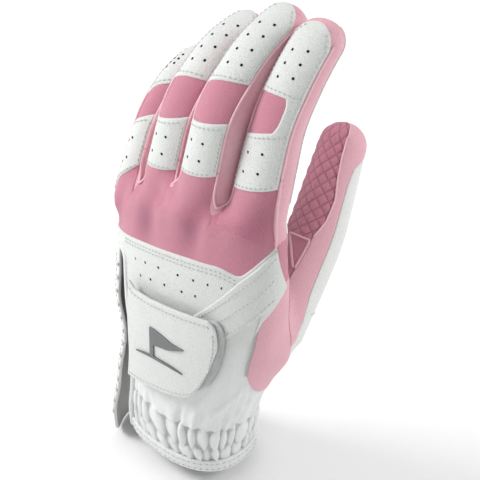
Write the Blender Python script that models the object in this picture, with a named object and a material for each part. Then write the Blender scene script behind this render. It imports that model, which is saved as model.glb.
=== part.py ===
"""Left-hand golf glove as an assembly of thin leather and knit panels.

The glove stands on its cuff: +Z runs from the cuff hem to the fingertips, +X to the thumb side
and +Y to the palm side. The origin is the centre of the hand opening at the hem.
Every panel is a closed thin solid, and each finger segment is its own group of panels that
turns about a crease on the palm side.
"""
import math

import bmesh
import bpy
import numpy as np

MM = 0.001

# Sheet goods (mm)
LEATHER = 1.0
GAP = 0.3
HEM_THICK = 1.8
GATHER_THICK = 2.2
FLAP_THICK = 1.2
STRAP_LAYER = (0.95, 0.3)
LOOP_LAYER = (1.95, 1.25)
HOOK_LAYER = (2.95, 2.25)
TAB_LAYER = (4.25, 3.25)
EMBLEM_LAYER = (4.95, 4.55)

# Hand body: centre and half sizes of its cross-section at heights up from the hem (mm)
HAND_HEIGHT = (0, 10, 20, 40, 60, 80, 100, 110)
HAND_CX = (0, 0, 0.8, 3, 2.5, 1.2, -0.2, -0.6)
HAND_CY = (0, 0, 0, 0.5, 1, 1, 1, 1)
HAND_A = (23.5, 24, 24.5, 29, 34.5, 36.7, 37.2, 37)
HAND_B = (17.5, 18, 17.5, 16.5, 15.5, 13.5, 10.8, 9.8)
SECTION_POWER = 2.4
HAND_TOP = 107.4
HEM_TOP = 5.0
GATHER_TOP = 20.0
SLIT_TOP = 82.0

# Angles round the hand (degrees): 0 thumb side, 90 palm, 180 little-finger side, 270 back
PALM_START = 22.5
PALM_END = 177.0
FLAP_START = 150.0
FLAP_END = 214.0
BACK_START = 228.0
BINDING = (222.8, 227.6)
TAB_LEFT = 236.0
TAB_RIGHT = 303.0

# Panel edges on the hand as (angle, height) corners
KNUCKLE_LOW = ((177.3, 88), (240, 87.5), (266, 88), (300, 90), (315, 88.5), (348, 103.5), (363, 87), (382.2, 84))
BACK_LOW = ((177.3, 82.3), (228, 82.3), (233, 68), (326, 68), (338, 78), (362, 85.8))
SIDE_TOP = ((331, 52), (334, 70.5), (338, 77.5), (362, 85.3), (382.2, 83.4))
SIDE_LOW = ((331, 50), (352, 41), (369, 37), (382.2, 40))
WRIST_TOP = ((228, 67.7), (322, 67.7), (330.4, 49.7), (352, 40.7), (369, 36.7), (382.2, 39.7))
STRAP_TOP = ((283, 67.8), (315, 88.2), (348, 103.1), (362.5, 87.4))
STRAP_LOW = ((283, 59), (306, 64), (338, 78.4), (362.5, 86.2))
TAB_TOP = ((236, 71), (262, 70.2), (285, 71.5), (297, 72), (303, 68))
TAB_LOW = ((236, 29), (262, 32), (288, 37.5), (297, 42), (303, 56))
LOOP_TOP = ((246, 66), (300, 70), (308, 66))
LOOP_LOW = ((246, 34), (300, 43), (308, 52))

# Fingers: base centre, sideways lean, knuckle bend, middle-joint bend, stations, width
# stations: overlay bottom, overlay top, joint patch top, tip
FINGERS = {
    "index": {"base": (27.3, 3.3, 112.4), "lean": 2.3, "knuckle": 12, "middle": 22, "tip": 11, "at": (8, 27, 41, 68.5), "w": 18.5},
    "middle": {"base": (6.5, -1.5, 109.6), "lean": 6.9, "knuckle": 6, "middle": 35, "tip": 27, "at": (8, 28, 43, 76), "w": 18.5},
    "ring": {"base": (-12.2, 0.5, 103.0), "lean": 6.9, "knuckle": 8, "middle": 37, "tip": 35, "at": (8, 27, 41, 72), "w": 17.4},
    "little": {"base": (-29.9, 2.1, 92.9), "lean": 2.8, "knuckle": 19, "middle": 30, "tip": 31, "at": (7, 23, 35, 56.5), "w": 14.6},
}
FINGER_THICK = 0.92
FINGER_TAPER = 0.2
BACK_EDGES = (-55, 50)
SIDE_EDGE = 112
KNUCKLE_WEDGE = 3.4
PALM_CUT = 0.35

# Thumb: axis corners, direction its nail side faces, and half sizes along it
THUMB_AXIS = ((24.5, 12, 57), (22.5, 36, 80), (15.5, 56, 103))
THUMB_NAIL = (0.60, -0.52, 0.60)
THUMB_AT = (-10, 0, 14, 33, 55, 74)
THUMB_A = (9, 12.2, 11.3, 10.0, 8.8, 7.6)
THUMB_B = (9, 11.6, 10.6, 9.4, 8.3, 7.3)
THUMB_TIP = 74.0
THUMB_KNUCKLE = 20.5
THUMB_MIDDLE = 42.0
THUMB_BAND = (2, 38)
THUMB_PALM_END = 244
THUMB_WEDGE = 4.6
GUSSET_SIDES = (-58, -12)
GUSSET_TOP = 31.5


def smooth_table(x, xs, ys):
    """Value at x of a smooth curve through the points (xs, ys)."""
    xs = np.asarray(xs, float)
    ys = np.asarray(ys, float)
    slopes = np.gradient(ys, xs)
    x = min(max(x, xs[0]), xs[-1])
    i = min(int(np.searchsorted(xs, x, side="right")) - 1, len(xs) - 2)
    step = xs[i + 1] - xs[i]
    t = (x - xs[i]) / step
    start = ys[i] * (1 + 2 * t) * (1 - t) ** 2 + slopes[i] * step * t * (1 - t) ** 2
    end = ys[i + 1] * t * t * (3 - 2 * t) - slopes[i + 1] * step * t * t * (1 - t)
    return start + end


def edge(corners, u):
    """Height of a panel edge, given as (angle, height) corners, at angle u."""
    return float(np.interp(u, [c[0] for c in corners], [c[1] for c in corners]))


def hand_point(u, h, out=0.0):
    """Point on the hand body at angle u (degrees) and height h, moved outward by out."""
    c = math.cos(math.radians(u))
    s = math.sin(math.radians(u))
    power = 2 / SECTION_POWER
    q = max(h, 0) / 110
    a = smooth_table(h, HAND_HEIGHT, HAND_A) + out
    b = smooth_table(h, HAND_HEIGHT, HAND_B) + out
    x = smooth_table(h, HAND_HEIGHT, HAND_CX) + a * math.copysign(abs(c) ** power, c)
    arch = 0.0038 * (x - 3) ** 2 - 1.5
    y = smooth_table(h, HAND_HEIGHT, HAND_CY) + b * math.copysign(abs(s) ** power, s) + arch * q * q
    slope = 0.3 * x - 0.006 * x * x - 2
    return np.array((x, y, h + (slope - 0.15 * y) * q * q))


def outside_hand(p, clearance):
    """True when point p lies outside the hand body by at least the clearance."""
    h = p[2] - 0.3
    for _ in range(4):
        q = max(h, 0) / 110
        h = p[2] - (0.3 * p[0] - 0.006 * p[0] ** 2 - 2 - 0.15 * p[1]) * q * q
    q = max(h, 0) / 110
    a = smooth_table(h, HAND_HEIGHT, HAND_A) + clearance
    b = smooth_table(h, HAND_HEIGHT, HAND_B) + clearance
    x = (p[0] - smooth_table(h, HAND_HEIGHT, HAND_CX)) / a
    arch = (0.0038 * (p[0] - 3) ** 2 - 1.5) * q * q
    y = (p[1] - smooth_table(h, HAND_HEIGHT, HAND_CY) - arch) / b
    return abs(x) ** SECTION_POWER + abs(y) ** SECTION_POWER > 1


class Sleeve:
    """Tapered tube along a bent axis, with a rounded tip: one finger or the thumb."""

    def __init__(self, base, heading, sizes, length, start=-14.0):
        self.length = length
        self.sizes = sizes
        self.s = np.arange(start, length + 2.1, 1.0)
        frames = [heading(s) for s in self.s]
        self.tangent = np.array([f[0] for f in frames])
        self.back = np.array([f[1] for f in frames])
        mid = np.array([heading(s + 0.5)[0] for s in self.s[:-1]])
        path = np.vstack([np.zeros(3), np.cumsum(mid, axis=0)])
        zero = np.array([np.interp(0, self.s, path[:, k]) for k in range(3)])
        self.path = path - zero + np.array(base, float)

    def at(self, s):
        """Axis point, tangent, back direction and sideways direction at distance s."""
        rows = (self.path, self.tangent, self.back)
        point, tangent, back = (np.array([np.interp(s, self.s, r[:, k]) for k in range(3)]) for r in rows)
        tangent = tangent / np.linalg.norm(tangent)
        back = back - tangent * back.dot(tangent)
        back = back / np.linalg.norm(back)
        return point, tangent, back, np.cross(tangent, back)

    def point(self, phi, s, depth=0.0, tip=0.0):
        """Surface point phi degrees from the back; tip is the angle up the rounded end."""
        a, b = self.sizes(s)
        radius = b
        turn = math.radians(tip)
        s = s + (radius - depth) * math.sin(turn)
        point, _, back, side = self.at(s)
        p = math.radians(phi)
        wide = (a - depth) * math.cos(turn) * math.sin(p)
        high = (b - depth) * math.cos(turn) * math.cos(p)
        return point + side * wide + back * high

    def crease(self, s):
        """Point just outside the palm-side wall at distance s, and the bending axis there."""
        point, _, back, side = self.at(s)
        return point - back * (self.sizes(s)[1] + 0.3), -side


def material(name, colour, roughness):
    """Principled material with a base colour and roughness."""
    mat = bpy.data.materials.new(name)
    mat.use_nodes = True
    shader = mat.node_tree.nodes["Principled BSDF"]
    shader.inputs["Base Color"].default_value = (*colour, 1.0)
    shader.inputs["Roughness"].default_value = roughness
    return mat


def add_object(name, verts, faces, mat, origin):
    """Link a mesh object made of millimetre points, with its origin at the given point."""
    mesh = bpy.data.meshes.new(name)
    local = [tuple((np.array(v) - origin) * MM) for v in verts]
    mesh.from_pydata(local, [], faces)
    bm = bmesh.new()
    bm.from_mesh(mesh)
    bmesh.ops.triangulate(bm, faces=bm.faces[:])
    bmesh.ops.recalc_face_normals(bm, faces=bm.faces[:])
    bm.to_mesh(mesh)
    bm.free()
    mesh.materials.append(mat)
    obj = bpy.data.objects.new(name, mesh)
    obj.location = tuple(np.array(origin, float) * MM)
    bpy.context.scene.collection.objects.link(obj)
    return obj


def sheet(name, outer, inner, mat, origin=(0, 0, 0), keep=None, wrap=False, pole=None):
    """Closed solid between two grids of points, outer[i][j] and inner[i][j].

    keep(i, j) says which cells of the grid exist. wrap joins the last column to the first.
    pole gives the outer and inner tip points that close the top row.
    """
    columns = len(outer)
    rows = len(outer[0])
    verts = [p for column in outer for p in column] + [p for column in inner for p in column]
    lift = columns * rows
    faces = []
    used = {}

    def corner(i, j):
        return (i % columns) * rows + j

    cells = [(i, j) for i in range(columns if wrap else columns - 1) for j in range(rows - 1)]
    loops = [
        (corner(i, j), corner(i + 1, j), corner(i + 1, j + 1), corner(i, j + 1))
        for i, j in cells
        if keep is None or keep(i, j)
    ]
    if pole is not None:
        tip = 2 * lift
        verts = verts + [pole[0], pole[1]]
        for i in range(columns):
            a = corner(i, rows - 1)
            b = corner(i + 1, rows - 1)
            faces.append((a, b, tip))
            faces.append((b + lift, a + lift, tip + 1))
            used[(a, b)] = True
    for loop in loops:
        faces.append(loop)
        faces.append(tuple(v + lift for v in reversed(loop)))
        for k in range(4):
            used[(loop[k], loop[(k + 1) % 4])] = True
    for a, b in used:
        if (b, a) not in used:
            faces.append((b, a, a + lift, b + lift))
    kept = sorted({v for face in faces for v in face})
    renumber = {v: n for n, v in enumerate(kept)}
    faces = [tuple(renumber[v] for v in face) for face in faces]
    return add_object(name, [verts[v] for v in kept], faces, mat, np.array(origin, float))


def angles(start, end, step, corners=()):
    """Evenly spaced angles from start to end that also include the corners between them."""
    count = max(1, round((end - start) / step))
    extra = [c[0] for c in corners if start + 1 < c[0] < end - 1]
    spread = [start + (end - start) * k / count for k in range(count + 1)]
    spread = [a for a in spread if all(abs(a - e) > 1 for e in extra)]
    return sorted(set(spread) | set(extra))


def columns_between(start, end):
    """Shared panel columns round the hand, so that neighbouring panels meet without crossing."""
    tables = (KNUCKLE_LOW, BACK_LOW, SIDE_TOP, SIDE_LOW, WRIST_TOP, STRAP_TOP, STRAP_LOW, LOOP_TOP, LOOP_LOW)
    corners = sorted({c[0] for table in tables for c in table})
    spaced = []
    for u in corners:
        if not spaced or u - spaced[-1] > 0.9:
            spaced.append(u)
    filled = []
    for a, b in zip(spaced, spaced[1:]):
        count = max(1, math.ceil((b - a) / 10))
        filled += [a + (b - a) * k / count for k in range(count)]
    return [start] + [u for u in filled if start + 0.8 < u < end - 0.8] + [end]


def hand_panel(name, mat, columns, low, high, rows, layer=(0.0, -LEATHER), keep=None):
    """Panel on the hand body between two edges, given as functions of the angle."""
    grids = []
    for out in layer:
        grid = []
        for u in columns:
            heights = [low(u) + (high(u) - low(u)) * j / rows for j in range(rows + 1)]
            grid.append([hand_point(u, h, out) for h in heights])
        grids.append(grid)
    return sheet(name, grids[0], grids[1], mat, keep=keep)


def flat_edge(height):
    """Edge at one height for every angle."""
    return lambda u: height


def corner_edge(corners, shift=0.0):
    """Edge through the given corners, shifted in height."""
    return lambda u: edge(corners, u) + shift


def carve(target, cutter):
    """Cut one object out of another and keep the result as the target's mesh."""
    cutter.hide_render = True
    cutter.display_type = "WIRE"
    modifier = target.modifiers.new("carve", "BOOLEAN")
    modifier.operation = "DIFFERENCE"
    modifier.solver = "EXACT"
    modifier.object = cutter
    graph = bpy.context.evaluated_depsgraph_get()
    mesh = bpy.data.meshes.new_from_object(target.evaluated_get(graph))
    target.modifiers.clear()
    target.data = mesh
    bpy.data.objects.remove(cutter)


def finger_sleeve(spec):
    """Sleeve of one finger: straight to the middle joint, then bent there and near the tip."""
    _, overlay_top, patch_top, length = spec["at"]
    middle = (overlay_top + patch_top) / 2
    last = middle + 0.52 * (length - middle)
    lean = math.radians(spec["lean"])
    up = np.array((math.sin(lean), 0, math.cos(lean)))
    forward = np.array((0.0, 1.0, 0.0))

    def heading(s):
        bend = spec["knuckle"]
        bend += spec["middle"] * min(max((s - middle + 7) / 14, 0), 1)
        bend += spec["tip"] * min(max((s - last + 6) / 12, 0), 1)
        turn = math.radians(bend)
        return up * math.cos(turn) + forward * math.sin(turn), up * math.sin(turn) - forward * math.cos(turn)

    def sizes(s):
        a = spec["w"] / 2 * (1 - FINGER_TAPER * min(max(s / length, 0), 1))
        return a, a * FINGER_THICK

    sleeve = Sleeve(spec["base"], heading, sizes, length)
    sleeve.middle = middle
    return sleeve


def thumb_sleeve():
    """Sleeve of the thumb, from inside the hand body to the thumb tip."""
    corners = np.array(THUMB_AXIS, float)
    first = corners[1] - corners[0]
    second = corners[2] - corners[1]
    bend_at = np.linalg.norm(first)
    nail = np.array(THUMB_NAIL)

    def heading(s):
        w = min(max((s - bend_at + 8) / 16, 0), 1)
        tangent = first / bend_at * (1 - w) + second / np.linalg.norm(second) * w
        tangent = tangent / np.linalg.norm(tangent)
        back = nail - tangent * nail.dot(tangent)
        return tangent, back / np.linalg.norm(back)

    def sizes(s):
        return float(np.interp(s, THUMB_AT, THUMB_A)), float(np.interp(s, THUMB_AT, THUMB_B))

    sleeve = Sleeve(THUMB_AXIS[0], heading, sizes, THUMB_TIP)
    sleeve.middle = THUMB_MIDDLE
    return sleeve


def tube_panel(name, sleeve, mat, origin, phis, low, high, rows):
    """Panel on a sleeve; low and high give the distance at angle phi and a depth."""
    grids = []
    for depth in (0.0, LEATHER):
        grid = []
        for phi in phis:
            a = low(phi, depth)
            b = high(phi, depth)
            grid.append([sleeve.point(phi, a + (b - a) * j / rows, depth) for j in range(rows + 1)])
        grids.append(grid)
    return sheet(name, grids[0], grids[1], mat, origin)


def wedge(centre, width, sign, floor=PALM_CUT):
    """Cut across a sleeve that is widest at the back and closes at the palm side."""
    return lambda phi, depth: centre + sign * (floor + width * (1 + math.cos(math.radians(phi))) / 2)


def tip_shell(name, sleeve, mat, origin, parts, low, tip_start):
    """Strip along both sides of a fingertip that joins over its rounded end.

    parts lists (start, end, step, kept) round the sleeve; kept ones reach down to low.
    """
    phis = []
    kept = []
    for start, end, step, keep in parts:
        count = max(1, round((end - start) / step))
        phis += [start + (end - start) * k / count for k in range(count)]
        kept += [keep] * count
    straight = 6
    cap = (12, 34, 56, 76)
    rows = straight + 1 + len(cap)
    top = sleeve.length - sleeve.sizes(sleeve.length)[1]
    grids = []
    for depth in (0.0, LEATHER):
        grid = []
        for phi in phis:
            a = low(phi, depth)
            column = [sleeve.point(phi, a + (tip_start - a) * j / (straight - 1), depth) for j in range(straight)]
            column.append(sleeve.point(phi, top, depth))
            column += [sleeve.point(phi, top, depth, tip) for tip in cap]
            grid.append(column)
        grids.append(grid)
    pole = (sleeve.point(0, top, 0.0, 90), sleeve.point(0, top, LEATHER, 90))
    return sheet(name, grids[0], grids[1], mat, origin, lambda i, j: kept[i] or j >= straight - 1, True, pole)


def build_hand(mats):
    """Fixed panels of the hand body, from the hem up to the knuckles."""
    around = angles(BACK_START, 360 + FLAP_START - 0.8, 12)
    hand_panel("cuff_hem", mats["white"], around, flat_edge(0), flat_edge(HEM_TOP), 1, (0.4, 0.4 - HEM_THICK))
    hand_panel(
        "cuff_gather", mats["white"], around, flat_edge(HEM_TOP + GAP), flat_edge(GATHER_TOP), 3, (0.5, 0.5 - GATHER_THICK)
    )
    hand_panel(
        "wrist_back_panel",
        mats["white"],
        columns_between(BACK_START, 382.2),
        flat_edge(GATHER_TOP + GAP),
        corner_edge(WRIST_TOP),
        4,
    )
    hand_panel(
        "perforated_back_panel",
        mats["white"],
        columns_between(177.3, 362),
        corner_edge(BACK_LOW),
        corner_edge(KNUCKLE_LOW, -GAP),
        2,
    )
    hand_panel(
        "knuckle_panel",
        mats["knit"],
        columns_between(177.3, 382.2),
        corner_edge(KNUCKLE_LOW),
        flat_edge(HAND_TOP),
        3,
    )
    hand_panel(
        "thumb_side_panel",
        mats["pink"],
        columns_between(331, 382.2),
        corner_edge(SIDE_LOW),
        corner_edge(SIDE_TOP),
        4,
    )
    hand_panel(
        "diagonal_strap",
        mats["white"],
        columns_between(283, 362.5),
        corner_edge(STRAP_LOW),
        corner_edge(STRAP_TOP),
        2,
        STRAP_LAYER,
    )
    hand_panel(
        "loop_patch", mats["loop"], columns_between(246, 308), corner_edge(LOOP_LOW), corner_edge(LOOP_TOP), 3, LOOP_LAYER
    )
    hand_panel(
        "slit_binding", mats["white"], list(BINDING), flat_edge(0.3), flat_edge(SLIT_TOP - GAP), 8, (0.5, -1.3)
    )
    build_palm(mats)
    build_heel_flap(mats)


def build_palm(mats):
    """Palm leather with the hole that the thumb opens through."""
    columns = angles(PALM_START, PALM_END, 9.5, ((FLAP_START, 0),))
    split = columns.index(FLAP_START)
    rows = 12
    heights = [GATHER_TOP + GAP + (SLIT_TOP - GATHER_TOP - GAP) * j / 8 for j in range(9)]
    rise = [j / 4 for j in range(1, rows - 7)]
    tops = [float(np.interp(u, (100, 150), (HAND_TOP + 1.5, HAND_TOP - 1.1))) for u in columns]
    levels = [heights + [SLIT_TOP + (top - SLIT_TOP) * r for r in rise] for top in tops]
    outer = [[hand_point(u, h) for h in column] for u, column in zip(columns, levels)]
    inner = [[hand_point(u, h, -LEATHER) for h in column] for u, column in zip(columns, levels)]
    palm = sheet("palm_panel", outer, inner, mats["palm"], keep=lambda i, j: i < split or j >= 8)
    carve(palm, thumb_cutter())


def thumb_cutter():
    """Closed plug the size of the thumb cavity, from inside the hand to outside it."""
    sleeve = thumb_sleeve()
    rings = [[sleeve.point(phi, s, LEATHER) for s in (-6.0, 2.0, 10.0, 18.0)] for phi in range(0, 360, 15)]
    verts = [p for ring in rings for p in ring]
    count = len(rings)
    faces = [
        (i * 4 + j, (i + 1) % count * 4 + j, (i + 1) % count * 4 + j + 1, i * 4 + j + 1)
        for i in range(count)
        for j in range(3)
    ]
    faces.append(tuple(i * 4 for i in range(count)))
    faces.append(tuple(i * 4 + 3 for i in range(count)))
    return add_object("thumb_cutter", verts, faces, mats_none(), np.zeros(3))


def mats_none():
    """Plain material for helper shapes that don't stay in the scene."""
    return material("helper", (0.5, 0.5, 0.5), 0.5)


def build_heel_flap(mats):
    """Loose edge of the palm leather that stands off the wrist beside the slit."""
    columns = angles(FLAP_START + 0.3, FLAP_END, 8)
    rows = 8
    grids = []
    for depth in (0.0, FLAP_THICK):
        grid = []
        for u in columns:
            ease = min((u - FLAP_START) / 40, 1)
            low = -3.0 + 4.0 * max(0.0, abs(u - 190) / 34 - 0.5)
            column = []
            for j in range(rows + 1):
                h = low + (SLIT_TOP - GAP - 0.1 - low) * j / rows
                flare = 1.6 + 3.2 * (1 - max(h, 0) / SLIT_TOP)
                column.append(hand_point(u, h, ease * flare - depth))
            grid.append(column)
        grids.append(grid)
    sheet("heel_flap", grids[0], grids[1], mats["palm"])


def build_tab(mats):
    """Closure tab that peels open about its edge in the slit, with its hook pad and emblem."""
    low = hand_point(TAB_LEFT - 5, 30, 2.6)
    high = hand_point(TAB_LEFT - 5, 70, 2.6)
    origin = (low + high) / 2
    columns = angles(TAB_LEFT, TAB_RIGHT, 7, TAB_TOP)

    def panel(name, mat, us, bottom, top, layer):
        grids = [[[hand_point(u, bottom(u) + (top(u) - bottom(u)) * j / 3, out) for j in range(4)] for u in us] for out in layer]
        return sheet(name, grids[0], grids[1], mat, origin)

    panel("tab_cover", mats["white"], columns, corner_edge(TAB_LOW), corner_edge(TAB_TOP), TAB_LAYER)
    panel(
        "hook_patch", mats["loop"], angles(250, 298, 8), corner_edge(TAB_LOW, 4), corner_edge(TAB_TOP, -5), HOOK_LAYER
    )
    build_emblem(mats, origin)


def build_emblem(mats, origin):
    """Small raised golf-flag sign on the tab: pole, pennant and ground line in one outline."""
    outline = ((-6, -4.2), (5, -4.2), (5, -3.2), (-0.9, -3.2), (-0.9, 0.2), (5.5, 2.4), (-0.9, 5.2), (-2, 5.2), (-2, -3.2), (-6, -3.2))
    verts = []
    for out in EMBLEM_LAYER:
        for across, up in outline:
            verts.append(hand_point(272 + across * 1.55, 52.5 + up, out))
    count = len(outline)
    faces = [(k, (k + 1) % count, (k + 1) % count + count, k + count) for k in range(count)]
    faces.append(tuple(range(count)))
    faces.append(tuple(range(2 * count - 1, count - 1, -1)))
    add_object("tab_emblem", verts, faces, mats["emblem"], origin)


def lobe_reach(sleeve):
    """Lower edge of a knuckle lobe: just above the top edge of the knuckle panel."""

    def reach(phi, depth):
        s = 0.4
        while s > -6:
            x, y, z = sleeve.point(phi, s - 0.25, depth)
            rim = HAND_TOP + (0.3 * x - 0.006 * x * x - 2 - 0.15 * y) * (HAND_TOP / 110) ** 2
            if z < rim + 0.6:
                break
            s -= 0.25
        return s

    return reach


def build_finger(name, spec, mats):
    """Panels of one finger: knuckle lobe and proximal group, joint patch, distal group."""
    sleeve = finger_sleeve(spec)
    bottom, overlay_top, patch_top, _ = spec["at"]
    half = (patch_top - overlay_top) / 2
    middle = sleeve.middle
    base_origin = sleeve.crease(0)[0]
    middle_origin = sleeve.crease(middle)[0]
    back = angles(BACK_EDGES[0], BACK_EDGES[1], 21)
    radial = angles(BACK_EDGES[1] + 2.2, SIDE_EDGE, 20)
    palm = angles(SIDE_EDGE + 2.2, 360 - SIDE_EDGE, 19)
    ulnar = angles(360 - SIDE_EDGE + 2.2, 360 + BACK_EDGES[0] - 2.2, 20)
    start = wedge(0.1, KNUCKLE_WEDGE, 1)
    below = wedge(middle, half - PALM_CUT, -1)
    above = wedge(middle, half - PALM_CUT, 1)

    def seam(shift):
        return lambda phi, depth: bottom + shift

    reach = lobe_reach(sleeve)
    tube_panel(f"{name}_knuckle_lobe", sleeve, mats["knit"], base_origin, back, reach, seam(-GAP), 2)
    tube_panel(f"{name}_proximal_back", sleeve, mats["white"], base_origin, back, seam(0), below, 3)
    tube_panel(f"{name}_proximal_palm", sleeve, mats["palm"], base_origin, palm, start, below, 4)
    tube_panel(f"{name}_fourchette_radial", sleeve, mats["pink"], base_origin, radial, start, below, 4)
    tube_panel(f"{name}_fourchette_ulnar", sleeve, mats["pink"], base_origin, ulnar, start, below, 4)
    patch_low = wedge(middle, half - PALM_CUT - GAP, -1)
    patch_high = wedge(middle, half - PALM_CUT - GAP, 1)
    tube_panel(
        f"{name}_joint_patch", sleeve, mats["knit"], middle_origin, angles(-105, 105, 21), patch_low, patch_high, 4
    )
    tip_start = sleeve.length - sleeve.sizes(sleeve.length)[1] - 1.0
    end = lambda phi, depth: tip_start - GAP
    tube_panel(f"{name}_distal_back", sleeve, mats["white"], middle_origin, back, above, end, 5)
    tube_panel(f"{name}_distal_palm", sleeve, mats["palm"], middle_origin, palm, above, end, 5)
    parts = (
        (radial[0], radial[-1], 20, True),
        (radial[-1], ulnar[0], 22, False),
        (ulnar[0], ulnar[-1], 20, True),
        (ulnar[-1], 360 + radial[0], 22, False),
    )
    tip_shell(f"{name}_distal_side", sleeve, mats["pink"], middle_origin, parts, above, tip_start)


def build_thumb(mats):
    """Thumb: fixed root panels, proximal group and distal group."""
    sleeve = thumb_sleeve()
    band, palm_start = THUMB_BAND
    quilt = angles(THUMB_PALM_END - 360 + 2, band - 2, 19)
    strip = angles(band, palm_start - 2, 17)
    palm = angles(palm_start, THUMB_PALM_END, 20)
    root_back = angles(THUMB_PALM_END - 360 + 2, palm_start - 2, 9)
    root_palm = angles(palm_start, THUMB_PALM_END, 10)

    def leave_hand(phi, depth):
        s = THUMB_KNUCKLE - THUMB_WEDGE
        while s > -12 and outside_hand(sleeve.point(phi, s, depth), 1.2):
            s -= 0.25
        return s + 0.25

    below = [wedge(s, THUMB_WEDGE, -1) for s in (THUMB_KNUCKLE, THUMB_MIDDLE)]
    above = [wedge(s, 0.0, 1) for s in (THUMB_KNUCKLE, THUMB_MIDDLE)]
    fixed = np.zeros(3)
    tube_panel("thumb_root_back", sleeve, mats["pink"], fixed, root_back, leave_hand, below[0], 3)
    tube_panel("thumb_root_palm", sleeve, mats["palm"], fixed, root_palm, leave_hand, below[0], 3)
    first = sleeve.crease(THUMB_KNUCKLE)[0]
    left, right = GUSSET_SIDES
    above_gusset = lambda phi, depth: GUSSET_TOP + GAP if left <= phi <= right else above[0](phi, depth)
    rim = angles(quilt[0], left - 2, 19) + angles(left, right, 15) + angles(right + 2, quilt[-1], 19)
    tube_panel("thumb_proximal_quilt", sleeve, mats["pink"], first, rim, above_gusset, below[1], 4)
    gusset = angles(left + 0.7, right - 0.7, 15)
    tube_panel("web_gusset", sleeve, mats["pink"], first, gusset, above[0], lambda phi, depth: GUSSET_TOP, 2)
    tube_panel("thumb_proximal_band", sleeve, mats["pink"], first, strip, above[0], below[1], 4)
    tube_panel("thumb_proximal_palm", sleeve, mats["palm"], first, palm, above[0], below[1], 4)
    second = sleeve.crease(THUMB_MIDDLE)[0]
    tip_start = sleeve.length - sleeve.sizes(sleeve.length)[1] - 1.0
    end = lambda phi, depth: tip_start - GAP
    tube_panel("thumb_distal_quilt", sleeve, mats["pink"], second, quilt, above[1], end, 5)
    tube_panel("thumb_distal_palm", sleeve, mats["palm"], second, palm, above[1], end, 5)
    parts = ((strip[0], strip[-1], 17, True), (strip[-1], 360 + strip[0], 21.5, False))
    tip_shell("thumb_distal_band", sleeve, mats["pink"], second, parts, above[1], tip_start)


def main():
    """Build every panel of the glove."""
    for obj in list(bpy.data.objects):
        bpy.data.objects.remove(obj)
    mats = {
        "white": material("white_leather", (0.83, 0.83, 0.82), 0.5),
        "palm": material("palm_leather", (0.85, 0.85, 0.83), 0.55),
        "pink": material("pink_leather", (0.72, 0.32, 0.40), 0.6),
        "knit": material("pink_knit", (0.70, 0.28, 0.37), 0.85),
        "loop": material("closure_pile", (0.75, 0.75, 0.75), 0.9),
        "emblem": material("grey_emblem", (0.25, 0.25, 0.27), 0.4),
    }
    build_hand(mats)
    build_tab(mats)
    for name, spec in FINGERS.items():
        build_finger(name, spec, mats)
    build_thumb(mats)


main()
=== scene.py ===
"""Looks of the left-hand golf glove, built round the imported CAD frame. Shapes are in millimetres until they
are written as meshes. +Z runs to the fingertips, +X to the thumb side and +Y to the palm side. Angles round
the hand (u) run from 0 at the thumb side over 90 at the palm to 270 at the back. Angles round a finger or the
thumb (phi) run from 0 at the back to 90 at the thumb side, and distances s run from its root to its tip."""

import math

import bpy
import numpy as np
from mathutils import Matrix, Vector


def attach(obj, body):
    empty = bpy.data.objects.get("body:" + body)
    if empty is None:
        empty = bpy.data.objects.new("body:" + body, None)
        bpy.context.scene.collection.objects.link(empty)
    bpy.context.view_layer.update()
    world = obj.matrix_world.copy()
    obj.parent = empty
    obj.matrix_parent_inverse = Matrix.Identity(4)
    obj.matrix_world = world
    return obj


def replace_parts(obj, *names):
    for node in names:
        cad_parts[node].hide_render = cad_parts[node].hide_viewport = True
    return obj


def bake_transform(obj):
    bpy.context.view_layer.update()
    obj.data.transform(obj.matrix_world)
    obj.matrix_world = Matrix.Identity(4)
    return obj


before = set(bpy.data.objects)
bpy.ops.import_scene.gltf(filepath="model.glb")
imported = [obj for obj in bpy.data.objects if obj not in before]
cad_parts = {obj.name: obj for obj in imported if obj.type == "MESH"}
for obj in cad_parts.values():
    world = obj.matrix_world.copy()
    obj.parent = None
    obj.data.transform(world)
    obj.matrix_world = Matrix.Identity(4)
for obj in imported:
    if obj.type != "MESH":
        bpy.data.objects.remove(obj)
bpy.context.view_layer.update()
MM = 0.001
RNG = np.random.default_rng(7)

# ---------------------------------------------------------------- shape of the hand, fingers and thumb
# centre and half axes of the hand's section at each height
HAND_HEIGHT = (-8, 0, 10, 20, 40, 60, 80, 100, 110)
HAND_CX = (0, 0, 0, 0.8, 3, 2.5, 1.2, -0.2, -0.6)
HAND_CY = (0, 0, 0, 0, 0.5, 1, 1, 1, 1)
HAND_A = (23.0, 23.5, 24, 24.5, 29, 34.5, 36.7, 37.2, 37)
HAND_B = (17.0, 17.5, 18, 17.5, 16.5, 15.5, 13.5, 10.8, 9.8)
POWER = 2.4
HAND_REACH = 110
HAND_TOP = 107.4
# bends are in degrees at the knuckle, the middle joint and near the tip;
# at holds the ends of the near overlay, of the patch over the middle joint and of the finger
FINGERS = {
    "index": dict(base=(27.3, 3.3, 112.4), lean=2.3, bends=(12, 22, 11), at=(27, 41, 68.5), wide=18.5),
    "middle": dict(base=(6.5, -1.5, 109.6), lean=6.9, bends=(6, 35, 27), at=(28, 43, 76), wide=18.5),
    "ring": dict(base=(-12.2, 0.5, 103.0), lean=6.9, bends=(8, 37, 35), at=(27, 41, 72), wide=17.4),
    "little": dict(base=(-29.9, 2.1, 92.9), lean=2.8, bends=(19, 30, 31), at=(23, 35, 56.5), wide=14.6),
}
FINGER_SPLIT = 17.0
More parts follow.
